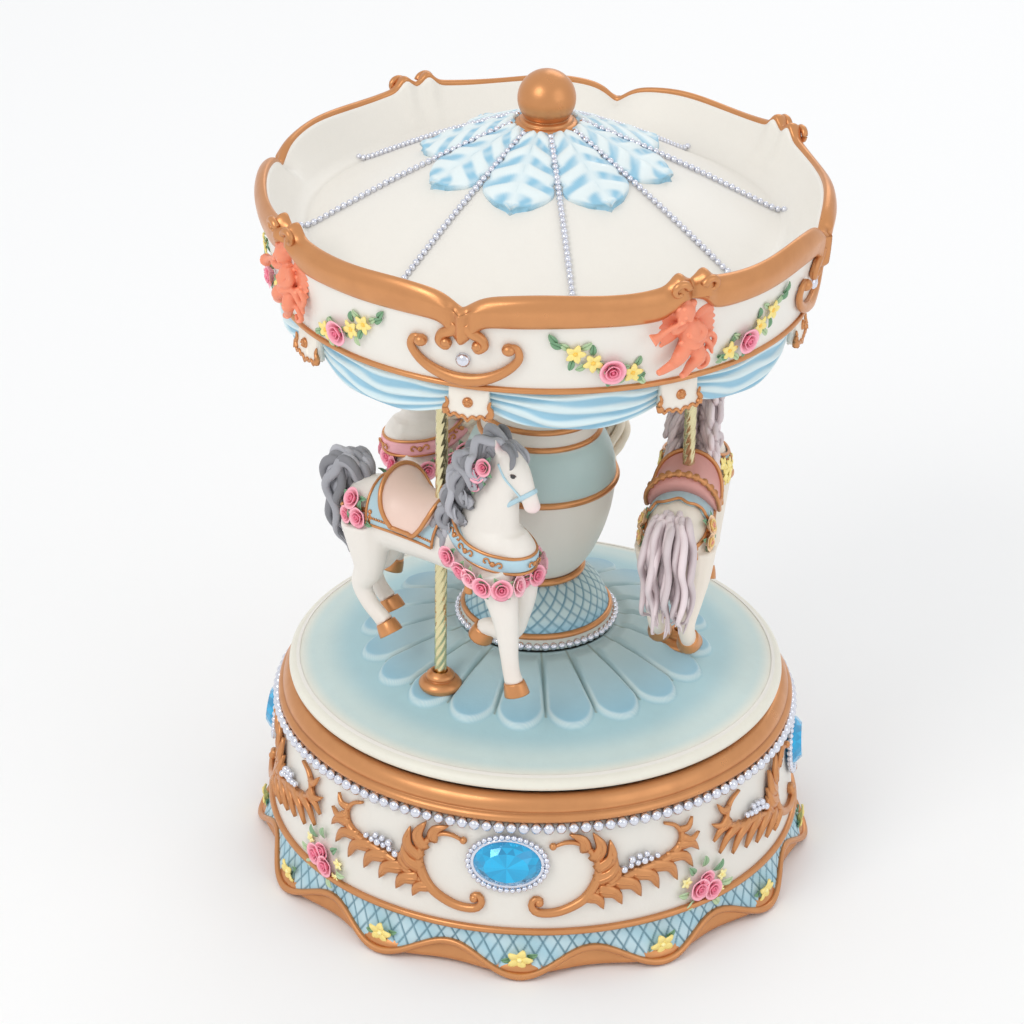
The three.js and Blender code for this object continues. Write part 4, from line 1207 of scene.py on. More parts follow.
def canopy_shell():
    """The cream body of the canopy: its fascia, the wall inside the gilt rim, and the roof."""
    roof = smooth_line(ROOF, 60)
    wall = [(65.6, 162.7), (66.6, 163.0), (66.9, 163.8), (69.4, 179.4), (69.9, 182.6), (69.9, 186.4),
            (69.3, 187.3), (68.4, 187.3), (67.9, 186.4), (65.4, 183.0), (62.8, 179.8), (60.8, 178.4)]
    outline = np.vstack([wall, roof[::-1], [(6.6, 202.2), (16, 198.4), (50, 180.8), (58, 176.4),
                                            (62.6, 175.6), (64.2, 163.2)]])

    def shaped(azimuth, line):
        share = np.clip((line[:, 1] - 182) / 4, 0, 1) * (line[:, 0] > 61)
        return np.stack([line[:, 0], line[:, 1] + share * rim_shift(azimuth)], -1)

    form = Form().add(revolve(outline, 540, shaped), paint(236, 232, 224))
    settle(form.build("canopy_shell", CREAM_RESIN), "turntable", "white_resin", "canopy")


def rim_shift(azimuth):
    """How far the rim dips at its folded joints and rises at its crests."""
    dip = np.abs(arc_to(azimuth, RIM_FOLDS[0]))
    crest = arc_to(azimuth, RIM_CRESTS[0])
    knobs = np.exp(-((np.abs(crest) - 3.4) / 2.2) ** 2)
    notch = 3.3 * np.exp(-((dip / 3.8) ** 1.5)) + 0.7 * np.exp(-((dip / 15) ** 2))
    swell = 0.9 * np.exp(-(((dip - 17) / 12) ** 2))
    return swell - notch + 1.5 * np.exp(-((crest / 10) ** 2)) + 2.4 * knobs


def canopy_rim():
    """The broad gilt moulding round the top, folded at four joints and crested at four more."""
    outline = smooth_line([
        (69.0, 181.2), (70.2, 180.6), (71.2, 181.6), (71.7, 183.6), (71.8, 185.4), (71.2, 187.2),
        (70.2, 188.2), (69.2, 188.3), (68.7, 187.4), (68.9, 184.4),
    ], 60, True)

    def folded(azimuth, line):
        crest = arc_to(azimuth, RIM_CRESTS[0])
        low, high = np.clip((185 - line[:, 1]) / 3, 0, 1), np.clip((line[:, 1] - 185) / 2, 0, 1)
        hollow = 3.8 * np.exp(-((crest / 4.6) ** 2)) * low
        dip = arc_to(azimuth, RIM_FOLDS[0])
        drop = -4.0 * np.exp(-((dip / 3.4) ** 2)) * low
        ridge = 0.7 * np.exp(-((dip / 0.7) ** 2)) - 0.5 * np.exp(-(((np.abs(dip) - 1.8) / 0.9) ** 2))
        cleft = -0.9 * np.exp(-((crest / 1.1) ** 2)) + 0.8 * np.exp(-((np.abs(crest) - 3.4) / 1.8) ** 2)
        swell = 0.35 * np.sin(np.radians(offset_to(azimuth, RIM_FOLDS[0], 45)) * 8 + 0.6)
        wobble = 0.12 * math.sin(math.radians(azimuth * 13))
        outside = np.clip((line[:, 0] - 69.2) / 2, 0, 1)
        radius = line[:, 0] + (ridge + cleft + swell) * outside
        lift = rim_shift(azimuth) * (0.35 + 0.65 * high) + hollow + drop + wobble
        return np.stack([radius, line[:, 1] + lift], -1)

    form = Form().add(revolve(outline, 960, folded), GOLD)
    form.add(loop_rope(ring_line(66.9, 163.2, 360)[:-1], 0.8), GOLD)
    count = 26
    for centre in RIM_CRESTS:
        for side in (-1, 1):
            turn = np.linspace(0.2, 1.75 * math.pi, count)
            curl = np.linspace(2.3, 0.7, count)
            u = side * (4.2 - curl * np.cos(turn))
            z = 188.6 + curl * np.sin(turn)
            path = np.array([on_fascia(centre, a, b, 1.5) for a, b in zip(u, z)])
            form.add(rope(path, np.linspace(1.05, 0.6, count), 8), GOLD)
    settle(form.build("canopy_rim", GILT), "turntable", "gold_paint")


def drapes():
    """The swags of the valance: folds hang in arcs from bracket to bracket and belly outwards."""
    steps, rows = 560, 52
    azimuth = 360 * np.arange(steps) / steps
    half = PANEL_STEP / 2
    across = (offset_to(azimuth, PANEL_AZIMUTHS[0] + half, PANEL_STEP) / half)[:, None]
    hang = 1 - np.abs(across) ** 2.2
    fall = np.linspace(0, 1, rows)[None, :]
    at_bracket = 163.2 - 5.4 * fall
    at_middle = 166.0 - 14.6 * fall
    z = at_bracket + (at_middle - at_bracket) * hang
    drift = 0.3 * np.sin(across * 2.3 + 5 * fall) + 0.12 * np.sin(azimuth[:, None] * 0.31)
    crease = np.sin(TAU * (5.2 * fall**0.9 + drift))
    fold = crease * (0.35 + 0.75 * hang) * (0.75 + 0.25 * np.sin(across * 5 + 9 * fall))
    belly = 2.9 * np.sin(np.pi * np.clip(0.12 + 0.76 * fall, 0, 1)) * hang
    radius = 62.8 + belly + 0.62 * fold - 0.9 * smoothstep((z - 162.6) / 0.8)
    z = np.minimum(z, 163.3 + 0.01 * (1 - fall))
    inner = np.linspace(61.2, 61.6, rows)[None, :] + 0 * radius
    radii, heights = np.concatenate([radius, inner], 1), np.concatenate([z, z[:, ::-1]], 1)
    streak = smoothstep(0.42 - crease * 0.75 + 0.35 * np.sin(across * 7 + fall * 13) * hang)
    tone = mix(paint(216, 233, 236), paint(142, 192, 216), 0.9 * streak)
    tone = np.concatenate([tone, tone[:, ::-1]], 1)
    grid = about_axis(radii, np.radians(azimuth)[:, None], heights)
    form = Form().add(surface(grid, True, True), tone.reshape(-1, 3))
    settle(form.build("valance", SKY_RESIN), "turntable", "pale_blue_resin")


def brackets():
    """Eight lambrequins that hold up the swags, with gilt flames at their corners and a gilt stud."""
    plates, edges = Form(), Form()
    u = np.linspace(-1, 1, 33)
    plate_radius = 66
    for centre in PANEL_AZIMUTHS:
        low = 154.4 + 0.9 * np.abs(np.sin(2.5 * np.pi * u)) - 0.7 * np.exp(-((u / 0.25) ** 2))
        v = np.linspace(0, 1, 9)[:, None]
        z = 162.4 + (low - 162.4) * v
        width = (4.9 + 0.5 * v**3) * u[None, :]
        bulge = 65.9 + 0.5 * np.sin(np.pi * v) * (1 - u[None, :] ** 2) + 0.5 * v**3

        def at(radius):
            return about_axis(radius, math.radians(centre) + width / plate_radius, z)

        plates.add(slab(at(bulge), at(bulge - 2.4)), IVORY)
        edges.add(rope(at(bulge + 0.1)[-1], 0.42, 8), GOLD)
        for side in (-1, 1):
            flame = [(side * 5.2, 155.2), (side * 5.7, 156.6), (side * 5.1, 157.8), (side * 5.5, 159.2)]
            path = [about_axis(66.3, math.radians(centre) + a / plate_radius, b) for a, b in flame]
            edges.add(rope(smooth_line(path, 14), np.linspace(1.0, 0.25, 14), 8), GOLD)
        stud = outward_place(centre, 66.5, 158.6)
        edges.add(ball((1.35, 1.35, 0.8), (0, 0, 0), 8, 14), GOLD, stud)
        for j in range(6):
            turn = TAU * j / 6
            edges.add(ball(0.34, (0.75 * math.cos(turn), 0.75 * math.sin(turn), 0.6), 4, 6), GOLD, stud)
    settle(plates.build("lambrequins", CREAM_RESIN), "turntable", "white_resin")
    settle(edges.build("lambrequin_gilding", GILT), "turntable", "gold_paint")


def canopy_scrolls():
    form, stones = Form(), Form()
    for centre in RIM_FOLDS:
        smile = [(-10.2, 175.0), (-12.2, 174.8), (-12.8, 172.0), (-9.8, 168.4), (-4.8, 166.0), (0.2, 165.2),
                 (5.4, 166.2), (10.1, 168.8), (13.2, 172.2), (12.9, 175.2), (10.9, 175.6)]
        line = wall_path(centre, smile, 60, 0.9, on_fascia)
        width = np.interp(np.linspace(0, 1, 60), [0, 0.1, 0.5, 0.9, 1], [0.8, 1.0, 1.7, 1.0, 0.8])
        form.add(ribbon(line, width, 0.8 * width, outward_of(line), 12), GOLD)
        for u, z in ((-10.2, 174.4), (11.0, 174.9)):
            form.add(ball((1.7, 1.7, 1.5), on_fascia(centre, u, z, 1.0), 8, 14), GOLD)
        for side in (-1, 1):
            volute = [(side * 0.9, 180.6), (side * 2.2, 178.8), (side * 4.6, 177.4), (side * 5.4, 175.4),
                      (side * 3.9, 174.0), (side * 3.0, 175.2)]
            line = wall_path(centre, volute, 26, 1.1, on_fascia)
            form.add(ribbon(line, np.linspace(1.7, 0.8, 26), 1.1, outward_of(line), 10), GOLD)
            form.add(ball((1.4, 1.4, 1.3), on_fascia(centre, side * 3.8, 175.3, 1.2), 8, 14), GOLD)
        place = outward_place(centre, fascia_radius(170.6) + 0.5, 170.6)
        stones.add(ball((1.9, 1.9, 1.3), (0, 0, 0), 6, 12), CREAM, place)
    settle(form.build("fascia_scrolls", GILT), "turntable", "gold_paint")
    settle(stones.build("fascia_crystals", SILVER), "turntable", "white_resin")


def fused(shapes, voxel, rounds):
    """Joins overlapping shapes into one skin on an even grid and relaxes it."""
    form = Form()
    for shape in shapes:
        form.add(shape)
    temp = form.build("join", CREAM_RESIN)
    temp.data.transform(Matrix.Scale(1 / MM, 4))
    remesh = temp.modifiers.new("join", "REMESH")
    remesh.mode, remesh.voxel_size, remesh.use_smooth_shade = "VOXEL", voxel, True
    relax = temp.modifiers.new("relax", "SMOOTH")
    relax.factor, relax.iterations = 0.5, rounds
    mesh = finished_mesh(temp)
    bpy.data.objects.remove(temp)
    points = np.zeros(len(mesh.vertices) * 3)
    mesh.vertices.foreach_get("co", points)
    faces = [list(face.vertices) for face in mesh.polygons]
    quads = np.array([face for face in faces if len(face) == 4])
    triangles = np.array([face for face in faces if len(face) == 3]).reshape(-1, 3)
    return points.reshape(-1, 3), quads, triangles


def limb(points, radii, flat=1.0, sides=14, facing=(0.05, 1, 0.05), count=28):
    """A rounded limb through points with a radius at each; flat squeezes it along facing."""
    points, radii = np.asarray(points, float), np.asarray(radii, float)
    line = smooth_line(np.column_stack([points, radii]), count)
    path, radius = line[:, :3], line[:, 3]
    return ribbon(path, radius, radius * flat, facing, sides)


def wing(side):
    """A feathered wing in the figure's own frame, spread to one side."""
    shapes = []
    for k in range(6):
        s = k / 5
        root = np.array([side * 1.4, 12.4 - 1.8 * s, -0.5])
        tip = np.array([side * (8.2 - 1.0 * s), 15.4 - 8.4 * s, -0.1])
        middle = (root + tip) / 2 + np.array([0, 1.7 - 1.2 * s, 0.7])
        shapes.append(limb([root, middle, tip], [1.0, 1.25, 0.5], 0.55, 8, (0, 0, 1), 14))
    shapes.append(limb([(side * 0.8, 11.6, -0.2), (side * 3.8, 14.8, 0.5), (side * 7.8, 15.6, 0.1)],
                       [1.1, 1.25, 0.6], 0.8, 8, (0, 0, 1), 14))
    return shapes


def winged_child():
    """A chubby winged child with a horn, in its own frame: X right, Y up, Z out; feet near Y = 0."""
    shapes = [
        limb([(0.4, 6.2, 0.8), (0.2, 8.6, 1.5), (-0.3, 11.2, 1.3), (-0.9, 13.2, 0.9)], [2.4, 2.8, 2.6, 1.7]),
        ball((2.7, 2.8, 2.6), (-1.8, 15.7, 1.6), 12, 18), ball((0.6, 0.5, 0.6), (-2.8, 15.2, 3.9), 6, 8),
        ball((0.95, 0.9, 0.7), (-3.6, 14.6, 3.0), 6, 8), ball((0.95, 0.9, 0.7), (-1.3, 14.4, 3.4), 6, 8),
        limb([(-1.8, 12.6, 1.6), (-4.6, 11.8, 2.5), (-6.0, 13.2, 2.9)], [1.3, 1.15, 0.8]),
        limb([(0.8, 12.4, 1.6), (3.0, 10.2, 2.6), (1.0, 9.0, 3.6), (-1.6, 10.4, 3.7)],
             [1.3, 1.15, 0.95, 0.75]),
        limb([(-2.8, 14.2, 3.7), (-6.0, 13.0, 3.2), (-9.0, 11.4, 2.8), (-10.8, 10.4, 2.4)],
             [0.55, 0.6, 0.85, 1.75]),
        limb([(-0.8, 6.8, 1.3), (-3.4, 4.8, 2.7), (-4.4, 2.8, 1.7), (-7.0, 1.3, 1.2), (-8.4, 1.0, 1.3)],
             [2.1, 1.8, 1.3, 0.95, 0.7]),
        limb([(1.4, 6.4, 1.3), (2.0, 3.8, 2.6), (0.4, 1.6, 1.9), (-0.8, -0.4, 1.5), (-2.2, -0.9, 1.8)],
             [2.1, 1.8, 1.3, 0.95, 0.75]),
        limb([(-3.0, 8.4, 1.8), (0, 7.0, 3.5), (3.2, 8.0, 2.0), (5.4, 6.0, 1.4), (6.8, 2.8, 0.8)],
             [0.9, 1.1, 1.2, 1.1, 0.45], 0.7, 8),
        limb([(3.0, 7.4, 1.6), (5.2, 8.6, 1.2), (7.2, 7.0, 1.0), (6.4, 4.8, 0.9), (4.6, 5.0, 1.0)],
             [0.9, 0.95, 0.85, 0.7, 0.5], 0.8, 8),
        limb([(2.2, 4.4, 1.4), (4.8, 3.2, 1.2), (5.4, 0.8, 0.9), (3.4, -0.2, 0.9), (2.6, 1.2, 1.0)],
             [0.9, 0.9, 0.8, 0.65, 0.45], 0.8, 8),
    ]
    for k in range(12):
        turn = TAU * k / 12
        centre = (-1.6 + 2.2 * math.cos(turn), 17.0 + 1.5 * math.sin(turn), 1.2 + 1.1 * math.sin(2.3 * k))
        shapes.append(ball(1.0, centre, 5, 7))
    shapes.append(ball((2.1, 1.4, 2.0), (-1.5, 17.7, 1.1), 6, 10))
    return fused(shapes + wing(1) + wing(-1), 0.28, 1)


def cherubs():
    child = winged_child()
    form = Form()
    foot_z, chest = 166.6, 8
    for centre in RIM_CRESTS:
        form.add(child, CORAL, outward_place(centre, fascia_radius(foot_z + chest) + 0.1, foot_z))
    settle(form.build("winged_children", CORAL_RESIN), "turntable", "white_resin")


def garlands():
    """Sprays of blossoms and leaves on both sides of each winged child, rising away from it."""
    blossoms, roses, leaves = Form(), Form(), Form()
    sprays = ((23.0, 174.0, YELLOW), (19.4, 171.3, YELLOW), (15.6, 169.0, ROSE), (11.2, 167.6, YELLOW))
    for centre in RIM_CRESTS:
        for mirror in (-1, 1):
            for k, (away, z, tone) in enumerate(sprays):
                azimuth = centre + mirror * away
                place = outward_place(azimuth, fascia_radius(z) + 0.3, z, 0.9 * k, math.radians(-6))
                if tone is ROSE:
                    add_rose(roses, place, 2.7)
                else:
                    add_blossom(blossoms, place, 2.5, YELLOW, paint(240, 196, 90))
                for turn, length in ((0.6 + k, 3.0), (2.5 + k, 2.8), (4.4 + k, 2.8)):
                    leaf = outward_place(azimuth, fascia_radius(z) + 0.2, z, turn)
                    leaf[:3, 3] += leaf[:3, 0] * 1.7
                    add_leaf(leaves, leaf, length, 0.85,
                             mix(LEAF, LEAF_PALE, 0.5 + 0.5 * math.sin(3 * k + turn)))
            for away, z, turn in ((25.6, 175.6, 0.5), (26.6, 176.8, 0.9), (8.4, 166.8, -0.3)):
                place = outward_place(centre + mirror * away, fascia_radius(z) + 0.3, z,
                                      turn if mirror > 0 else math.pi - turn)
                add_leaf(leaves, place, 3.2, 0.9, LEAF)
    settle(blossoms.build("garland_blossoms", BLOSSOM_PAINT), "turntable", "white_resin")
    settle(roses.build("garland_roses", FLOWER_PAINT), "turntable", "white_resin")
    settle(leaves.build("garland_leaves", LEAF_PAINT), "turntable", "white_resin")


def roof_leaf(azimuth):
    """One brush-painted leaf lying on the roof, and its colours: lobed sides and a broad round tip."""
    v = np.linspace(0, 1, 90)[:, None]
    u = np.linspace(-1, 1, 29)[None, :]
    radius = 8.6 + 22.4 * v
    side = np.abs(u)
    wave = np.abs(np.sin(np.pi * (4.1 * v + 0.15))) ** 0.8
    tip_round = np.sqrt(np.clip(1 - np.clip((v - 0.6) / 0.4, 0, 1) ** 2.2, 0.03, 1))
    half = (radius * math.tan(math.pi / 8) * 0.99 - 0.1) * tip_round * (0.86 + 0.14 * wave)
    a = math.radians(azimuth) + np.arctan2(u * half, radius)
    radius = radius + 1.5 * (1 - side) * v - 1.6 * side**1.5 * (1 - v)
    rib = np.exp(-((side / 0.12) ** 2))
    vein = np.cos(TAU * (4.1 * v + 0.15 - 0.9 * side))
    lift = 0.5 + 1.0 * (1 - side**2.5) + 0.42 * vein * side**0.5 * (1 - side**6) - 0.4 * rib + 0.8 * v**4

    def at(above):
        return about_axis(radius, a, roof_z(radius) + above)

    brush = 0.5 + 0.5 * np.sin(azimuth + 23 * v + 9 * u)
    stroke = smoothstep(0.3 - 0.95 * vein) * smoothstep(side * 3.2) * (0.55 + 0.45 * brush)
    outline = 0.55 * smoothstep((side - 0.86) / 0.14) * (1 - wave)
    outline = outline + 0.5 * np.exp(-(((v - 0.97) / 0.03) ** 2))
    tone = mix(paint(228, 239, 240), paint(140, 194, 220),
               np.clip(stroke + outline + 0.25 * rib * (1 - v), 0, 0.95))
    shape = slab(at(lift), at(0 * lift - 0.5))
    tone = np.concatenate([tone, tone[:, ::-1]], 1).reshape(-1, 3)
    return shape, np.vstack([tone, tone[:1], tone[-1:]])


def roof():
    form, lines = Form(), []
    radius = np.linspace(9.0, 60.5, 50)
    for azimuth in PANEL_AZIMUTHS:
        form.add(*roof_leaf(azimuth))
        lines.append(about_axis(radius, math.radians(azimuth + PANEL_STEP / 2), roof_z(radius) + 0.7))
    settle(form.build("roof_leaves", SKY_RESIN), "turntable", "pale_blue_resin")
    beads("roof_bead_strings", lines, 0.84, 1.66, "turntable")


def finial():
    centre, radius = top("finial") - 7.2, 7.2
    turn = np.radians(np.linspace(-42, 89, 40))
    ball_line = np.stack([radius * np.cos(turn), centre + radius * np.sin(turn)], -1)
    collar = smooth_line([(7.6, 202.9), (8.0, 203.5), (7.5, 204.2), (6.7, 204.6), (6.5, 205.1),
                          (5.9, 205.4)], 24)
    form = Form().add(spun(np.vstack([collar, ball_line]), 96), GOLD)
    settle(form.build("gilt_finial", GILT), "turntable", "gold_paint", "finial")


platform()
collars()
pillar()
canopy_shell()
canopy_rim()
drapes()
brackets()
canopy_scrolls()
cherubs()
garlands()
roof()
finial()


# ---------------- horses
# A horse faces +X with its pole on Z and the middle of the carousel on +Y.
# Heights are from the floor, with the pole in the middle of its travel.
CREST = [(19.6, 134.6), (16.4, 131.4), (13.6, 126.2), (11.4, 120.2), (9.4, 114.2), (7.4, 110.2)]
HEAD_PIVOT, HEAD_SIZE = np.array([20.0, 0, 130.0]), 0.92
POLE_TOP_MIDSTROKE = 172.0


def head_spot(point, tilt):
    """Where a point of the upright head goes when the head is nodded by tilt."""
    turn = np.array(Matrix.Rotation(tilt, 4, "Y"))[:3, :3]
    return (np.asarray(point, float) - HEAD_PIVOT) * HEAD_SIZE @ turn.T + HEAD_PIVOT


def horse_skin(forelegs, hindlegs, head_tilt=0.0):
    """The bare animal: trunk, neck, head, ears and legs fused into one skin."""

    def tilted(shape):
        points, quads, triangles = shape
        return head_spot(points, head_tilt), quads, triangles

    shapes = [
        limb([(-28.5, 0, 100), (-25.5, 0, 101.4), (-19, 0, 102.6), (-10, 0, 102.6), (0, 0, 102.8),
              (9, 0, 103.4), (17, 0, 104.6), (23.5, 0, 105.4), (27.2, 0, 105.2)],
             [3.4, 7.8, 9.6, 8.7, 8.2, 8.8, 9.7, 7.6, 3.6], 0.86, 24, count=40),
        limb([(14.5, 0, 106), (16.2, 0, 112.5), (18.0, 0, 119), (19.8, 0, 125), (21.2, 0, 130)],
             [9.4, 8.3, 6.6, 5.2, 4.3], 0.66, 20),
        limb([(23, 0, 111), (24.0, 0, 106.5), (23.5, 0, 102)], [3.6, 5.2, 4.6], 1.1, 16),
        tilted(limb([(18.4, 0, 131.2), (21.6, 0, 130.6), (24.8, 0, 127.8), (27.6, 0, 124.0),
                     (29.6, 0, 120.8), (30.2, 0, 119.2)], [3.4, 4.6, 4.3, 3.15, 2.6, 1.9], 0.72, 20)),
        tilted(ball((2.5, 2.3, 2.0), (29.9, 0, 119.9), 10, 14)),
        tilted(ball((3.4, 2.9, 3.4), (22.9, 0, 127.4), 10, 14)),
    ]
    for side in (-1, 1):
        shapes.append(tilted(ball((1.0, 0.75, 0.85), (25.0, side * 2.95, 128.6), 8, 10)))
        shapes.append(tilted(ball((0.95, 0.6, 0.75), (31.0, side * 1.25, 120.4), 8, 10)))
        shapes.append(tilted(limb([(20.2, side * 2.0, 132.6), (19.9, side * 2.6, 135.0),
                                   (19.4, side * 2.8, 137.4)],
                                  [1.25, 1.2, 0.35], 0.6, 10, (1, 0, 0.2), 12)))
        shapes.append(ball((4.4, 2.4, 5.2), (21.0, side * 4.9, 103.6), 10, 14))
        shapes.append(ball((5.6, 2.6, 6.2), (-21.4, side * 4.9, 101.6), 10, 14))
    for side, leg in zip((-1, 1), forelegs):
        joints = np.array([(20.8, side * 4.6, 101.5)] + [(x, side * y, z) for x, y, z in leg])
        radii = [5.6, 4.4, 3.5, 3.0, 2.5, 2.4, 2.65]
        shapes.append(limb(joints, radii, 0.88, 14, count=44))
        shapes.append(ball((2.6, 2.9, 3.1), joints[3], 8, 12))
    for side, leg in zip((-1, 1), hindlegs):
        joints = np.array([(-21.5, side * 4.8, 101)] + [(x, side * y, z) for x, y, z in leg])
        radii = [7.0, 5.8, 4.3, 3.0, 2.55, 2.45, 2.65]
        shapes.append(limb(joints, radii, 0.82, 14, count=44))
    return fused(shapes, 0.54, 5)


class Mount:
    """One horse: its skin, ways of finding points on it, and its place on the carousel."""

    far = 40

    def __init__(self, number, skin):
        self.number, self.skin = number, skin
        self.body = f"horse_{number}_set"
        low, high = limits(f"pole_{number}")
        middle = (low + high)[:2] / 2
        azimuth = math.atan2(middle[1], middle[0])
        lift = top(f"pole_{number}") - POLE_TOP_MIDSTROKE
        forward = (-math.sin(azimuth), math.cos(azimuth), 0)
        inward = (-math.cos(azimuth), -math.sin(azimuth), 0)
        self.place = basis((middle[0], middle[1], lift), forward, inward, (0, 0, 1))
        points, quads, triangles = skin
        faces = [tuple(map(int, q)) for q in quads] + [tuple(map(int, t)) for t in triangles]
        self.tree = BVHTree.FromPolygons([Vector(p) for p in points], faces)

    def touch(self, centre, direction, lift=0.0):
        """The outermost skin point seen from far along direction, with its outward normal."""
        direction = Vector(direction).normalized()
        start = Vector(centre) + direction * self.far
        hit, normal, _, _ = self.tree.ray_cast(start, -direction)
        if hit is None:
            return np.array(centre, float), np.array(direction)
        if normal.dot(direction) < 0:
            normal = -normal
        return np.array(hit + normal * lift), np.array(normal)

    def path(self, centres, directions, lift):
        hits = [self.touch(c, d, lift) for c, d in zip(centres, directions)]
        points = np.array([h[0] for h in hits])
        normals = np.array([h[1] for h in hits])
        for _ in range(2):
            points[1:-1] = (points[:-2] + 2 * points[1:-1] + points[2:]) / 4
            normals[1:-1] = normals[:-2] + 2 * normals[1:-1] + normals[2:]
        return points, normals / np.linalg.norm(normals, axis=1, keepdims=True)

    def strap(self, form, centres, directions, width, thickness, colour, lift=0.25):
        points, normals = self.path(centres, directions, lift)
        form.add(ribbon(points, width, thickness, normals, 10), colour, self.place)
        return points, normals

    def at(self, point, normal, turn=0.0):
        """A placement on the skin whose Z is the outward normal, in the carousel's frame."""
        z = normal / np.linalg.norm(normal)
        x = np.cross((0.2, 0.1, 1.0), z)
        x /= np.linalg.norm(x)
        y = np.cross(z, x)
        x, y = math.cos(turn) * x + math.sin(turn) * y, math.cos(turn) * y - math.sin(turn) * x
        return self.place @ basis(point, x, y, z)

    def patch(self, form, theta, front, rear, low, high, colour, axis_z=102.5, columns=26):
        """A closed sheet over the back: theta runs from one flank over the spine to the other."""
        upper, lower = [], []
        for angle, x1, x0 in zip(theta, front, rear):
            row_up, row_low = [], []
            direction = (0, math.sin(angle), math.cos(angle))
            for k, x in enumerate(np.linspace(x0, x1, columns)):
                point, normal = self.touch((x, 0, axis_z), direction)
                s = k / (columns - 1)
                row_up.append(point + normal * (high(s, angle) if callable(high) else high))
                row_low.append(point + normal * low)
            upper.append(row_up)
            lower.append(row_low)
        upper = relaxed(np.array(upper))
        lower = relaxed(np.array(lower))
        form.add(slab(upper, lower), colour, self.place)
        return upper


def relaxed(grid, rounds=2):
    grid = grid.copy()
    for _ in range(rounds):
        grid[1:-1, 1:-1] = (grid[:-2, 1:-1] + grid[2:, 1:-1] + grid[1:-1, :-2] + grid[1:-1, 2:]) / 4
    return grid


def horse_coat(coat, blush):
    """Coat paint: a blush on the muzzle and inside the ears, warmer low on the legs."""
    def colour(points):
        nose = np.exp(-(np.linalg.norm(points - np.array([31, 0, 119.2]), axis=1) / 3.2) ** 2)
        ears = np.exp(-((points[:, 2] - 136) / 1.8) ** 2) * (points[:, 0] > 19.8)
        low = smoothstep((84 - points[:, 2]) / 14)
        tone = mix(coat, blush, np.clip(0.45 * nose + 0.8 * ears, 0, 1))
        return mix(tone, paint(226, 206, 190), 0.35 * low)
    return colour


def hooves(mount, form, legs):
    for side, leg in legs:
        tip, fetlock = np.array(leg[-1], float), np.array(leg[-2], float)
        run = tip - fetlock
        down = 0.6 * run / np.linalg.norm(run) + np.array([0.1, 0, -0.45])
        down /= np.linalg.norm(down)
        path = [(tip + down * step) * np.array([1, side, 1]) for step in (-0.4, 1.2, 3.0)]
        form.add(limb(path, [2.7, 3.1, 3.35], 0.95, 18, count=10), GOLD, mount.place)


def lock(mount, form, points, radius, colour, wave=0.6, turns=2.5, phase=0.0, count=30):
    """One wavy tapered lock of hair through points."""
    line = smooth_line(points, count)
    s = np.linspace(0, 1, count)
    tangent = along(line)
    side = np.cross(tangent, (0.1, 1, 0.1))
    side /= np.linalg.norm(side, axis=1, keepdims=True)
    line = line + side * (wave * np.sin(turns * TAU * s + phase) * smoothstep(s * 3))[:, None]
    line[:, 1] += 0.45 * wave * np.cos(turns * TAU * s + phase) * s
    width = radius * np.interp(s, [0, 0.2, 0.7, 1], [0.75, 1.0, 0.8, 0.15])
    form.add(ribbon(line, width, width * 0.7, (0, 1, 0), 8), colour, mount.place)


def hair_tone(random, colour, contrast):
    return colour * (1 - contrast * (random.random() - 0.34))


def mane(mount, form, colour, contrast):
    crest = smooth_line(CREST, 18)
    random = np.random.default_rng(20 + mount.number)
    for k, (x, z) in enumerate(crest):
        for side in (-1, 1):
            back = 5.2 + 3.0 * random.random()
            fall = (8.4 + 5.4 * random.random()) * (0.72 if k < 4 else 1)
            y = side * (3.0 + 1.4 * random.random())
            tone = hair_tone(random, colour, contrast)
            points = [(x + 2.0, side * 0.7, z - 0.6), (x - 0.8, side * 2.2, z + 1.8),
                      (x - back * 0.8, y + side * 1.6, z - fall * 0.3),
                      (x - back * 0.55, y + side * 2.4, z - fall * 0.75),
                      (x - back * 0.1, y + side * 1.7, z - fall),
                      (x - back * 0.5, y + side * 2.4, z - fall * 0.72)]
            lock(mount, form, points, 1.3, tone, 1.5, 2.1 + random.random(), 1.7 * k + side, 40)
        if k % 2 == 0:
            tone = hair_tone(random, colour, contrast)
            points = [(x + 2.0, 0, z - 0.8), (x - 0.8, 0, z + 2.2), (x - 5.4, 0.6, z + 0.8),
                      (x - 6.8, 0.8, z - 3.8), (x - 4.6, 1.0, z - 6.0)]
            lock(mount, form, points, 1.5, tone, 1.1, 1.8, k)
    for side in (-1, -0.3, 0.5, 1):
        start = [(19.8, side * 1.0, 134.2), (22.0, side * 1.7, 135.0), (24.6, side * 2.2, 133.0),
                 (25.0, side * 2.6, 130.4), (23.8, side * 3.0, 129.3)]
        lock(mount, form, start, 1.05, colour * (0.85 + 0.2 * side), 0.5, 1.3, 2 * side)


def tail(mount, form, colour, contrast, line, spread):
    random = np.random.default_rng(40 + mount.number)
    line, locks = np.array(line), 22
    s = np.linspace(0, 1, len(line))
    grow = 0.25 + 1.15 * np.sin(np.pi * np.clip(0.1 + 0.7 * s, 0, 1))
    for k in range(locks):
        angle, wide = TAU * k / locks * 2.4, spread * math.sqrt((k + 0.5) / locks)
        side, depth = wide * math.cos(angle), wide * math.sin(angle)
        shift = np.stack([depth * grow, side * grow * 1.15, 0 * s], -1)
        points = np.column_stack([line[:, 0], 0 * line[:, 0], line[:, 1]]) + shift
        points[-1] += (2.8 * random.random() - 1.6, 1.6 * random.random() - 0.8, 4.0 * random.random())
        tone = hair_tone(random, colour, contrast)
        lock(mount, form, points, 1.5, tone, 1.35, 2.6, 2 * k, 50)


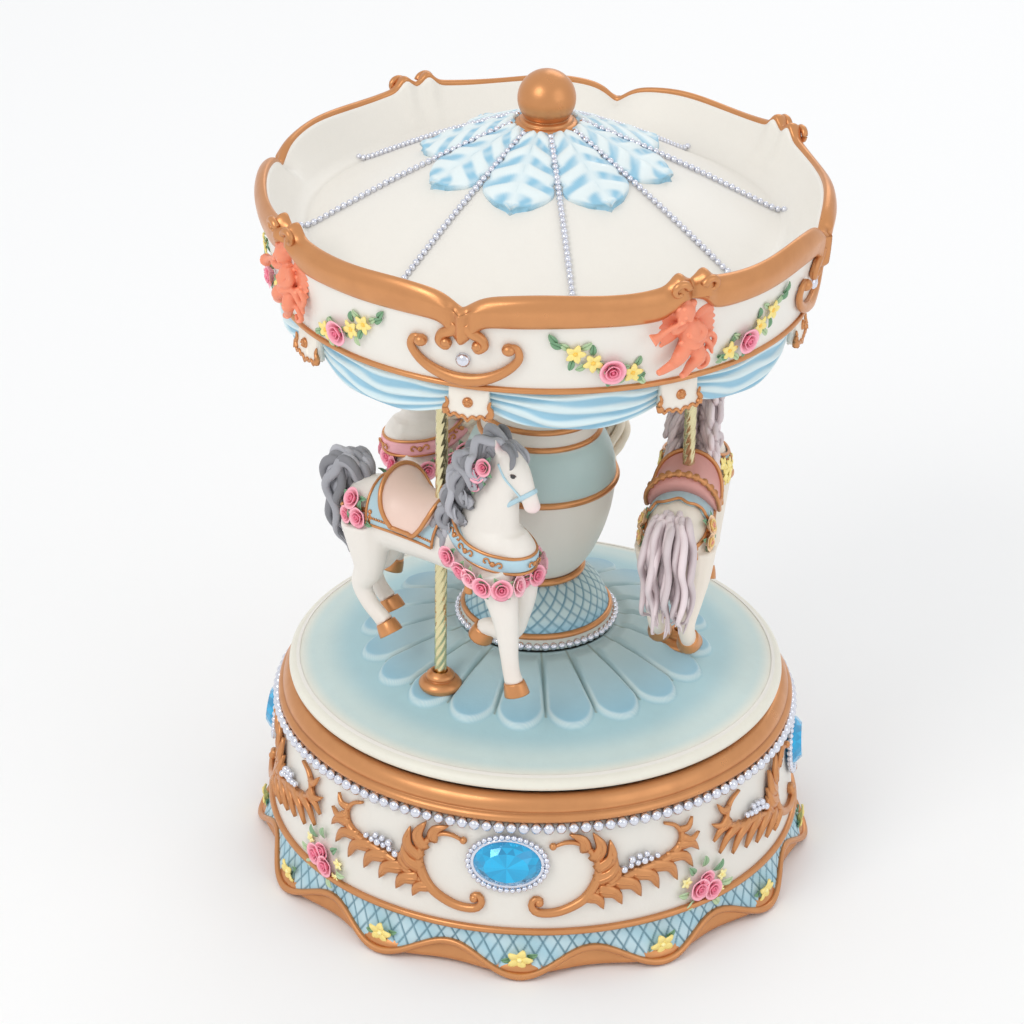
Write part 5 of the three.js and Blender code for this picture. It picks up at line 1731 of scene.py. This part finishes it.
def roses_along(mount, petals, leaves, points, normals, size, spacing, tones=(ROSE,)):
    length = np.concatenate([[0], np.cumsum(np.linalg.norm(np.diff(points, axis=0), axis=1))])
    count = int(length[-1] / spacing) + 1
    for k, wanted in enumerate(np.linspace(0, length[-1], count)):
        j = min(int(np.searchsorted(length, wanted)), len(points) - 1)
        tone = tones[k % len(tones)]
        add_rose(petals, mount.at(points[j] + normals[j] * 0.2, normals[j], k), size, tone)
        for turn in (1.1, 4.4):
            leaf = mount.at(points[j] + normals[j] * 0.3, normals[j], turn + 0.3 * k)
            add_leaf(leaves, leaf, size * 1.5, size * 0.38, mix(LEAF, LEAF_PALE, 0.3 * (k % 3)))


def tassel(mount, form, point, normal, size=1.0):
    """A gilt tassel hanging from a point on the skin: a knot and a skirt of threads."""
    hang = point + normal * 0.5
    form.add(ball(0.75 * size, hang, 6, 8), GOLD, mount.place)
    path = [hang - np.array([0, 0, s * size]) for s in (0.5, 1.6, 3.4)]
    form.add(limb(path, [0.45 * size, 0.85 * size, 1.15 * size], 0.7, 10, count=8), GOLD, mount.place)


def hem_line(sheet):
    """An even line round the edge of a sheet's grid of points."""
    edge = np.vstack([sheet[:, 0], sheet[-1], sheet[::-1, -1], sheet[0, ::-1]])
    return smooth_line(edge[::3], 150)


def tack(mount, trim, cloth, pad, petals, leaves, style):
    """Blanket, saddle, breast band, roses and tassels."""
    theta = np.radians(np.linspace(-86, 86, 44))
    fall = np.abs(theta) / theta.max()
    scallop = style["scallop"] * np.abs(np.sin(theta * 5.5))
    front, rear = 4.6 - 1.0 * fall, -19.0 + 1.8 * fall - scallop
    upper = mount.patch(cloth, theta, front, rear, 0.1, 0.85, style["cloth"])
    trim.add(rope(hem_line(upper), 0.4, 8), GOLD, mount.place)
    for row in (3, -4):
        for point in smooth_line(upper[row, 1:-1], 26):
            trim.add(ball(0.42, point + np.array([0, 0, 0.1]), 4, 6), GOLD, mount.place)
    theta = np.radians(np.linspace(-74, 74, 36))
    fall = np.abs(theta) / theta.max()
    front, rear = 3.4 - 5.2 * fall**2.2, -15.2 + 6.4 * fall**2.2

    def cushion(s, angle):
        return 1.9 + (3.4 * (1 - s) ** 5 + 2.2 * s**7) * math.cos(angle) ** 2

    upper = mount.patch(pad, theta, front, rear, 0.6, cushion, style["pad"])
    trim.add(rope(hem_line(upper), 0.62, 8), GOLD, mount.place)
    if style["cantle"]:
        for row in range(8, 28, 2):
            rib = smooth_line(upper[row, :5] + np.array([-0.3, 0, 0.5]), 10)
            trim.add(rope(rib, 0.95, 8), GOLD, mount.place)
    turn = np.radians(np.linspace(-128, 128, 60))
    around = [(math.cos(t), math.sin(t), 0) for t in turn]
    band = [(12.0, 0, 108.0 - 3.2 * math.cos(t)) for t in turn]
    points, normals = mount.path(band, around, 0.35)
    cloth.add(ribbon(points, 2.0, 0.45, normals, 8), style["band"], mount.place)
    for shift in (-2.1, 2.1):
        line = points + np.array([0, 0, shift])
        trim.add(ribbon(line, 0.42, 0.42, normals, 8), GOLD, mount.place)
    for j in range(6, 56, 8):
        place = mount.at(points[j] + normals[j] * 0.45, normals[j])
        trim.add(ball((0.75, 0.75, 0.45), (0, 0, 0.1), 6, 10), GOLD, place)
        for flip in (-1, 1):
            curl = [(flip * 0.7, 0, 0.1), (flip * 1.4, 0.9, 0.1), (flip * 2.3, 0.7, 0.1),
                    (flip * 2.3, -0.2, 0.1), (flip * 1.7, -0.2, 0.1)]
            trim.add(rope(smooth_line(curl, 12), 0.24, 6), GOLD, place)
    low_band = [(12.0, 0, 103.0 - 3.8 * math.cos(t)) for t in turn]
    if style["garland"]:
        points, normals = mount.path(low_band[6:-6], around[6:-6], 0.5)
        roses_along(mount, petals, leaves, points, normals, 2.35, 3.9, style["rose_tones"])
    else:
        mount.strap(trim, low_band[4:-4], around[4:-4], 0.8, 0.35, GOLD, 0.3)
        for t in turn[6:-6:6]:
            for z in (104.2, 107.0):
                point, normal = mount.touch((12.0, 0, z - 3.4 * math.cos(t)), (math.cos(t), math.sin(t), 0),
                                            0.5)
                add_blossom(petals, mount.at(point, normal, t), 2.3, YELLOW)
    for side in (-1, 1):
        point, normal = mount.touch((15.0, 0, 98.6), (0, side, 0), 0.2)
        tassel(mount, trim, point, normal, 1.15)
    back = np.radians(np.linspace(62, 298, 60))
    centres = [(-16.5, 0, 101.6 + 4.6 * abs(math.sin(t))) for t in back]
    points, normals = mount.strap(trim, centres, [(math.cos(t), math.sin(t), 0) for t in back], 0.6, 0.35,
                                  GOLD, 0.3)
    for j in range(4, 57, 8):
        tassel(mount, trim, points[j], normals[j], 0.85)
    for side in (-1, 1):
        for x, z, size in style["rump"]:
            point, normal = mount.touch((x, 0, z), (0, side, 0.25), 0.4)
            add_rose(petals, mount.at(point, normal, x), size, style["rose_tones"][0])
            for turn_leaf in (0.6, 2.4, 4.2):
                leaf = mount.at(point, normal, turn_leaf + x)
                leaf[:3, 3] += leaf[:3, 0] * size * 0.6
                add_leaf(leaves, leaf, size * 1.4, size * 0.34, LEAF)


def bridle(mount, cloth, style):
    """A noseband and the line of the headstall, in the colour of the breast band."""
    ring = np.linspace(0, TAU, 41)
    up = np.array([0.78, 0, 0.62])
    directions = [tuple(up * math.cos(t) + np.array([0, 1, 0]) * math.sin(t)) for t in ring]
    centre = tuple(head_spot((28.2, 0, 122.6), style["tilt"]))
    points, normals = mount.path([centre] * len(ring), directions, 0.2)
    points[-1] = points[0]
    cloth.add(ribbon(points, 0.6, 0.28, normals, 8), style["band"], mount.place)
    cheek = [head_spot(spot, style["tilt"]) for spot in ((27.9, 0, 122.4), (25.2, 0, 124.6),
                                                         (22.8, 0, 127.2), (20.8, 0, 130.6))]
    for side in (-1, 1):
        line = [mount.touch(tuple(spot), (0, side, 0), 0.15)[0] for spot in cheek]
        cloth.add(rope(smooth_line(line, 18), 0.3, 6), style["band"], mount.place)


def eyes(mount, form, head_tilt):
    spot = head_spot((25.3, 0, 128.3), head_tilt)
    for side in (-1, 1):
        point, normal = mount.touch(tuple(spot), (0.15, side, 0.05), -0.25)
        form.add(ball((0.72, 0.66, 0.66), point, 8, 12), paint(26, 22, 24), mount.place)
        lid = mount.at(point, normal)
        arc = np.radians(np.linspace(20, 160, 12))
        path = np.stack([0.8 * np.cos(arc), 0.6 * np.sin(arc), 0.25 + 0 * arc], -1)
        form.add(rope(path, 0.14, 6), paint(92, 70, 66), lid)


def twisted_pole(number):
    low, high = limits(f"pole_{number}")
    centre, radius = (low + high)[:2] / 2, (high[0] - low[0]) / 2
    strands, pitch = 5, 15.0
    z = np.linspace(low[2], high[2], 320)[:, None]
    turn = TAU * np.arange(40)[None, :] / 40
    ridge = np.abs(np.cos(strands / 2 * (turn - z * TAU / pitch))) ** 0.6
    reach_out = radius * (0.84 + 0.16 * ridge)
    form = Form().add(capped(about_axis(reach_out, turn, z, centre)), GOLD)
    settle(form.build(f"twisted_pole_{number}", POLE_METAL), f"horse_{number}_set", "pole_brass",
           f"pole_{number}")


STRAIGHT_FORE = [(23.6, 4.4, 94.4), (25.0, 4.3, 88.4), (25.6, 4.2, 84.2), (26.2, 4.2, 79), (27.0, 4.2, 74.6),
                 (28.0, 4.2, 72.0)]
BENT_FORE = [(22.6, 4.4, 93.6), (21.4, 4.3, 85.6), (20.0, 4.2, 81.0), (15.8, 4.2, 79.0), (12.6, 4.2, 79.0),
             (10.9, 4.2, 77.6)]
RAISED_FORE = [(24.4, 4.6, 95.6), (28.6, 4.7, 91.6), (31.0, 4.7, 88.6), (30.2, 4.7, 83.4), (29.6, 4.7, 80.4),
               (28.6, 4.7, 78.6)]
HIND_NEAR = [(-20.4, 4.6, 93.6), (-20.6, 4.4, 87.4), (-23.0, 4.2, 81.8), (-20.6, 4.2, 77.4),
             (-17.2, 4.2, 74.8), (-14.8, 4.2, 73.2)]
HIND_FAR = [(-22.4, 4.6, 92.8), (-23.8, 4.4, 87.0), (-27.0, 4.2, 82.4), (-25.4, 4.2, 78.0),
            (-23.0, 4.2, 75.6), (-21.2, 4.2, 74.2)]

TAIL_ARCHED = [(-25.8, 108.8), (-28.0, 113.0), (-31.4, 113.4), (-33.2, 109.0), (-33.0, 102.8), (-31.4, 96.8),
               (-29.6, 92.0), (-28.6, 88.0)]
TAIL_LONG = [(-26.6, 108.4), (-30.0, 111.4), (-32.6, 108.4), (-33.6, 101.6), (-33.0, 93.6), (-32.0, 86.4),
             (-30.6, 80.4)]

STYLES = {
    1: {"forelegs": (STRAIGHT_FORE, BENT_FORE), "hindlegs": (HIND_NEAR, HIND_FAR), "tilt": 0.0,
        "coat": WHITE_COAT, "mane": GREY_MANE, "tail": TAIL_ARCHED, "cloth": paint(178, 206, 216),
        "pad": SADDLE_PINK, "band": paint(178, 208, 220), "garland": True,
        "rose_tones": (ROSE, ROSE, ROSE_PALE), "scallop": 0.0, "spread": 3.4, "contrast": 0.75,
        "cantle": False,
        "rump": ((-22.5, 105.5, 2.4), (-19.5, 102.0, 2.3), (-24.0, 101.2, 2.0))},
    2: {"forelegs": (BENT_FORE, STRAIGHT_FORE), "hindlegs": (HIND_FAR, HIND_NEAR), "tilt": -0.12,
        "coat": WHITE_COAT, "mane": CREAM_MANE, "tail": TAIL_LONG, "cloth": paint(236, 214, 150),
        "pad": SADDLE_PINK, "band": paint(240, 178, 186), "garland": True,
        "rose_tones": (ROSE, ROSE_DEEP, ROSE), "scallop": 1.0, "spread": 3.6, "contrast": 0.25,
        "cantle": False, "rump": ((-22.0, 104.5, 2.6), (-18.0, 101.5, 2.4))},
    3: {"forelegs": (BENT_FORE, RAISED_FORE), "hindlegs": (HIND_FAR, HIND_NEAR), "tilt": 0.08,
        "coat": paint(238, 228, 214), "mane": LILAC_MANE, "tail": TAIL_LONG, "cloth": paint(176, 206, 214),
        "pad": SADDLE_ROSE, "band": paint(176, 206, 214), "garland": False,
        "rose_tones": (YELLOW, YELLOW_PALE), "scallop": 1.6, "spread": 4.6, "contrast": 0.3, "cantle": True,
        "rump": ((-20.5, 104.5, 2.2), (-23.0, 101.5, 2.0))},
}


def horse(number):
    style = STYLES[number]
    mount = Mount(number, horse_skin(style["forelegs"], style["hindlegs"], style["tilt"]))
    body = mount.body
    form = Form().add(mount.skin, horse_coat(style["coat"], ROSE_PALE)(mount.skin[0]), mount.place)
    settle(form.build(f"horse_{number}_body", HORSE_RESIN), body, "horse_resin", f"horse_{number}")
    trim, cloth, pad, petals, leaves, hair, dark = (Form() for _ in range(7))
    tack(mount, trim, cloth, pad, petals, leaves, style)
    bridle(mount, cloth, style)
    hooves(mount, trim, zip((-1, 1, -1, 1), style["forelegs"] + style["hindlegs"]))
    mane(mount, hair, style["mane"], style["contrast"])
    tail(mount, hair, style["mane"], style["contrast"], style["tail"], style["spread"])
    for side in (-1, 1):
        for x, z, size in ((18.0, 129.4, 1.9), (16.0, 127.2, 2.1), (15.2, 124.2, 1.8)):
            place = mount.at(np.array([x, side * 4.6, z]), np.array([0.1, side, 0.25]), x)
            add_rose(petals, place, size, style["rose_tones"][0])
            for turn_leaf in (0.4, 2.2, 4.0):
                add_leaf(leaves, place @ about_z(turn_leaf), size * 1.7, size * 0.4, LEAF)
    eyes(mount, dark, style["tilt"])
    petal_paint = FLOWER_PAINT if style["rose_tones"][0] is ROSE else BLOSSOM_PAINT
    for form, label, material, slot in (
        (trim, "gilding", GILT, "gold_paint"), (cloth, "blanket", SKY_RESIN, "pale_blue_resin"),
        (pad, "saddle", HORSE_RESIN, "horse_resin"), (petals, "roses", petal_paint, "horse_resin"),
        (leaves, "leaves", LEAF_PAINT, "horse_resin"), (hair, "hair", MANE_RESIN, "horse_resin"),
        (dark, "eyes", EYE_PAINT, "horse_resin"),
    ):
        settle(form.build(f"horse_{number}_{label}", material), body, slot)
    twisted_pole(number)


for horse_number in HORSES:
    horse(horse_number)


# ---------------- frame nodes that keep their own shape
NODE_FINISHES = (
    (FELT, ("bottom_cover",)), (RUBBER, ("rubber_foot",)), (PLAIN_CREAM, ("canopy_ceiling",)),
    (NYLON, ("cam_track", "cylinder_pinion", "governor_wheel", "fly_governor", "pole_foot")),
    (BRASS_METAL, ("spindle_bush", "crown_wheel", "music_cylinder", "cylinder_gear")),
    (ZINC_METAL, ("bedplate", "cylinder_bearing", "governor_bearing", "comb_heel")),
    (STEEL_METAL, ("cover_screw", "movement_screw", "comb_screw", "spring_housing", "mainspring", "comb",
                   "governor_bracket", "spindle", "tie_", "cylinder_arbor", "winding_key")),
)


def finish_frame_nodes():
    """The first row whose word starts a node's name gives its finish."""
    for name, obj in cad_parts.items():
        found = [material for material, starts in NODE_FINISHES if name.startswith(starts)]
        if found:
            for slot in obj.material_slots:
                slot.material = found[0]


finish_frame_nodes()
